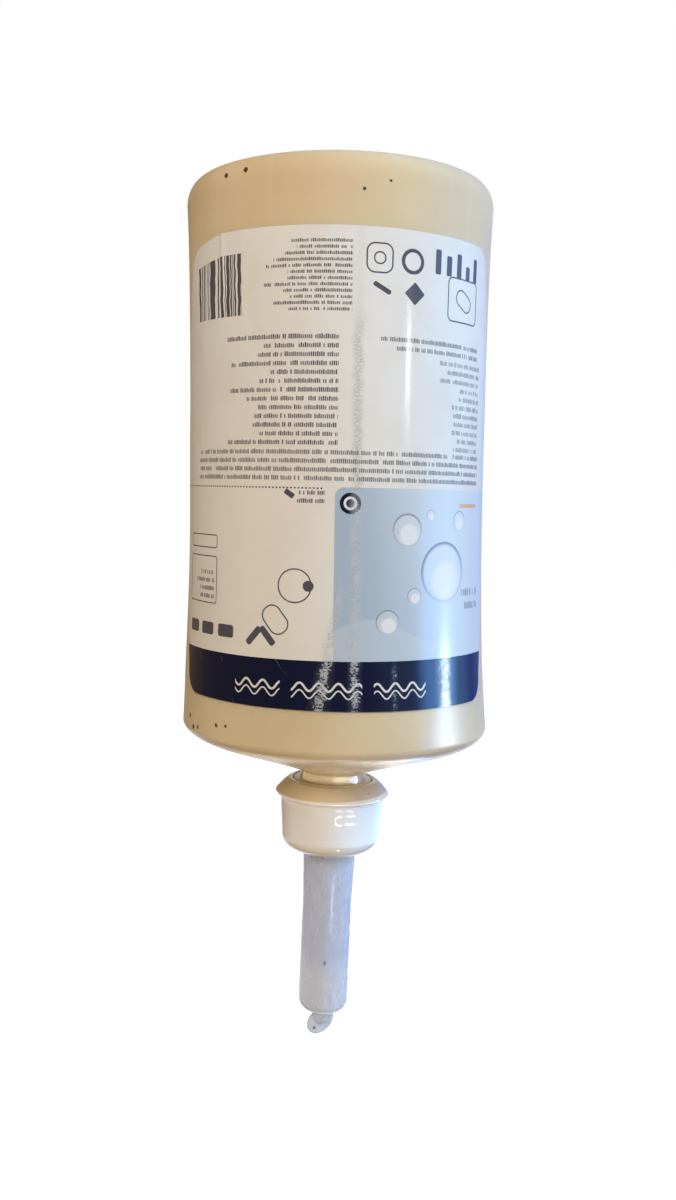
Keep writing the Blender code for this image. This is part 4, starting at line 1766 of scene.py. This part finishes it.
    @staticmethod
    def light_up(thing: Thing, graph: Graph, light: Feed, sampling: str = "NONE") -> None:
        """Make a card or backdrop plain light that gloss alone sees.

        Args:
            thing: The card or backdrop.
            graph: The nodes of its material so far.
            light: Colour and strength of its light.
            sampling: How Cycles looks for its light.
        """
        graph.nodes.remove(graph.shader)
        glow = graph.node("Emission", light)
        graph.feed(graph.nodes["Material Output"].inputs["Surface"], glow.outputs[0])
        graph.owner.cycles.emission_sampling = sampling
        thing.data.materials.append(graph.owner)
        for ray in ("camera", "diffuse", "transmission", "volume_scatter", "shadow"):
            setattr(thing, f"visible_{ray}", False)

    def add_card(self, name: str, corners: list[Vector], light: Colour, sampling: str = "NONE") -> None:
        """Add a bright card with four sides.

        Args:
            name: Name of the card.
            corners: Its corners, in turn.
            light: Colour and strength of its light.
            sampling: How Cycles looks for its light.
        """
        Bench.take(None)
        bpy.ops.mesh.primitive_plane_add(size=1)
        card = bpy.context.object
        card.name = name
        order = sorted(card.data.vertices, key=lambda vert: math.atan2(vert.co.y, vert.co.x))
        for vert, corner in zip(order, corners):
            vert.co = corner
        self.light_up(card, Graph(name), light, sampling)

    def add_glint(self, name: str, glint: Glint, lean: Matrix) -> None:
        """Set a small bright card where a round wall mirrors it to the camera as a glint.

        Args:
            name: Name of the card.
            glint: The glint to make.
            lean: The pump's lean.
        """
        corners = []
        for side, up in CORNERS:
            angle = math.radians(glint.angle + side * glint.half_angle)
            height = glint.height + up * glint.half_height
            radius = glint.wall.radius + glint.wall.narrowing * height
            level = Vector((math.sin(angle), -math.cos(angle), 0))
            spot = lean @ (radius * level + Vector((0, 0, height)))
            facing = (lean @ (level - Vector((0, 0, glint.wall.narrowing)))).normalized()
            sight = (spot - Vector(self.camera_place)).normalized()
            corners.append(spot + glint.reach * sight.reflect(facing))
        self.add_card(name, corners, glint.light)

    def add_strip(self) -> None:
        """A narrow bright window far to the right, mirrored as the upright strip on the label's band."""
        corners = []
        for side, up in CORNERS:
            turn = math.radians(self.strip_azimuth + side * self.strip_half_sizes[0])
            rise = math.radians(self.strip_elevation + up * self.strip_half_sizes[1])
            level = Vector((math.sin(turn), -math.cos(turn), math.tan(rise))) * math.cos(rise)
            corners.append(self.strip_distance * level)
        self.add_card("window_strip", corners, self.strip_light, "FRONT_BACK")

    def add_surround(self) -> None:
        """A round backdrop that only gloss sees: dim room before the object, windows at its right."""
        Bench.take(None)
        bpy.ops.mesh.primitive_uv_sphere_add(segments=96, ring_count=48, radius=self.surround_radius)
        surround = bpy.context.object
        surround.name = "surround"
        graph = Graph("surround_tones")
        x, y, z = graph.split(graph.object_point())
        azimuth = graph.math("DEGREES", graph.math("ARCTAN2", x, graph.math("MULTIPLY", y, -1.0)))
        rise = graph.math("DIVIDE", z, self.surround_radius)
        elevation = graph.math("DEGREES", graph.math("ARCSINE", rise))
        (first, tone), *rest = self.surround_tones
        light: Feed = tone
        for degrees, tone in rest:
            light = graph.over(light, tone, graph.spread(azimuth, first, degrees))
            first = degrees
        for pane in self.panes:
            across = graph.away(azimuth, pane.azimuth)
            up = graph.away(elevation, pane.elevation)
            soft = pane.rim / 2
            share = graph.times(
                graph.fading(across, pane.half_width - soft, pane.half_width + soft),
                graph.fading(up, pane.half_height - soft, pane.half_height + soft),
            )
            light = graph.over(light, pane.light, share)
        self.light_up(surround, graph, light)

    def build(self, lean: float) -> None:
        """Set up the whole studio.

        Args:
            lean: Angle of the pump's lean, which the glint cards follow.
        """
        self.add_camera()
        self.add_room()
        self.add_floor()
        self.add_surround()
        self.add_strip()
        for number, glint in enumerate(self.glints, 1):
            self.add_glint(f"glint_card_{number}", glint, Matrix.Rotation(lean, 3, "Y"))
        for lamp in self.lamps:
            self.add_lamp(lamp)
        bpy.context.scene.view_settings.view_transform = "Standard"


# Refill


@dataclass
class Refill:
    """The whole pack: its pieces, their finishes, and where its dark specks are."""

    bottle: Bottle = field(default_factory=Bottle)
    bottle_specks: tuple[Place, ...] = (
        (-43.0, 180.9, 0.7), (-34.0, 181.3, 0.75), (4.5, 183.5, 0.4), (8.0, 174.8, 0.5), (17.0, 177.3, 0.4),
        (-66.0, 27.5, 0.7), (-62.0, 24.5, 0.8), (-58.0, 25.0, 0.6), (-46.0, 27.4, 0.6), (-41.0, 27.8, 0.5),
        (7.0, 15.6, 0.7), (7.2, 17.4, 0.5), (20.0, 12.5, 0.5),
    )
    brim_specks: tuple[Speck, ...] = (((0.0117, -0.0115, 0.0030), 0.0006),)
    tube_specks: tuple[Speck, ...] = (
        ((-0.0016, -0.0078, -0.0530), 0.0005), ((-0.0048, -0.0010, -0.0775), 0.0005),
    )

    def speck_places(self) -> list[Speck]:
        """Find the dark specks' places on the bottle's outline.

        Returns:
            Centre and radius in metres of each speck.
        """
        neck = self.bottle.neck_radius
        outline = [(height, radius) for radius, height in self.bottle.profile() if radius > neck]
        places = []
        for degrees, height, radius in self.bottle_specks:
            level = height * MM
            wall = min(sorted(outline), key=lambda entry: abs(entry[0] - level))[1]
            angle = math.radians(degrees)
            spot = Vector((wall * math.sin(angle), -wall * math.cos(angle), level))
            places.append((self.bottle.stand(spot), radius * MM))
        return places

    def dress(self, piece: Thing, material: Material, node: str) -> None:
        """Give a piece its finish, and let it stand for its solid.

        Args:
            piece: The finished mesh.
            material: Its finish.
            node: The solid that it replaces.
        """
        piece.data.materials.clear()
        piece.data.materials.append(material)
        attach(piece, ROOT)
        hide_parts(node)
        low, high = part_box(node)
        corners = [piece.matrix_world @ Vector(corner) for corner in piece.bound_box]
        under = min(min(corner[axis] for corner in corners) - low[axis] for axis in range(3))
        beyond = max(max(corner[axis] for corner in corners) - high[axis] for axis in range(3))
        faces = sum(len(face.vertices) - 2 for face in piece.data.polygons)
        sizes = (piece.name, faces, under / MM, beyond / MM)
        LOG.info("%s: %d triangles, %.2f mm under and %.2f mm over its solid", *sizes)

    def build(self) -> None:
        """Model and dress the five pieces."""
        self.dress(self.bottle.model(), CreamPlastic().material(self.speck_places()), "bottle")
        label = Label(self.bottle)
        self.dress(label.model(), PrintedFilm().material(label), "label")
        collar = Collar(self.bottle)
        self.dress(collar.model(), WhitePlastic().material(self.brim_specks), "collar")
        sleeve = Sleeve(self.bottle, collar)
        self.dress(sleeve.model(), HazyPlastic().material(self.tube_specks), "pump_sleeve")
        valve = Valve(self.bottle, sleeve)
        self.dress(valve.model(), NaturalPlastic().material(), "pump_valve")


def main() -> None:
    """Build the pack and its studio."""
    logging.basicConfig(level=logging.INFO, format="%(name)s: %(message)s")
    refill = Refill()
    Studio().build(refill.bottle.lean)
    refill.build()


if __name__ == "__main__":
    main()
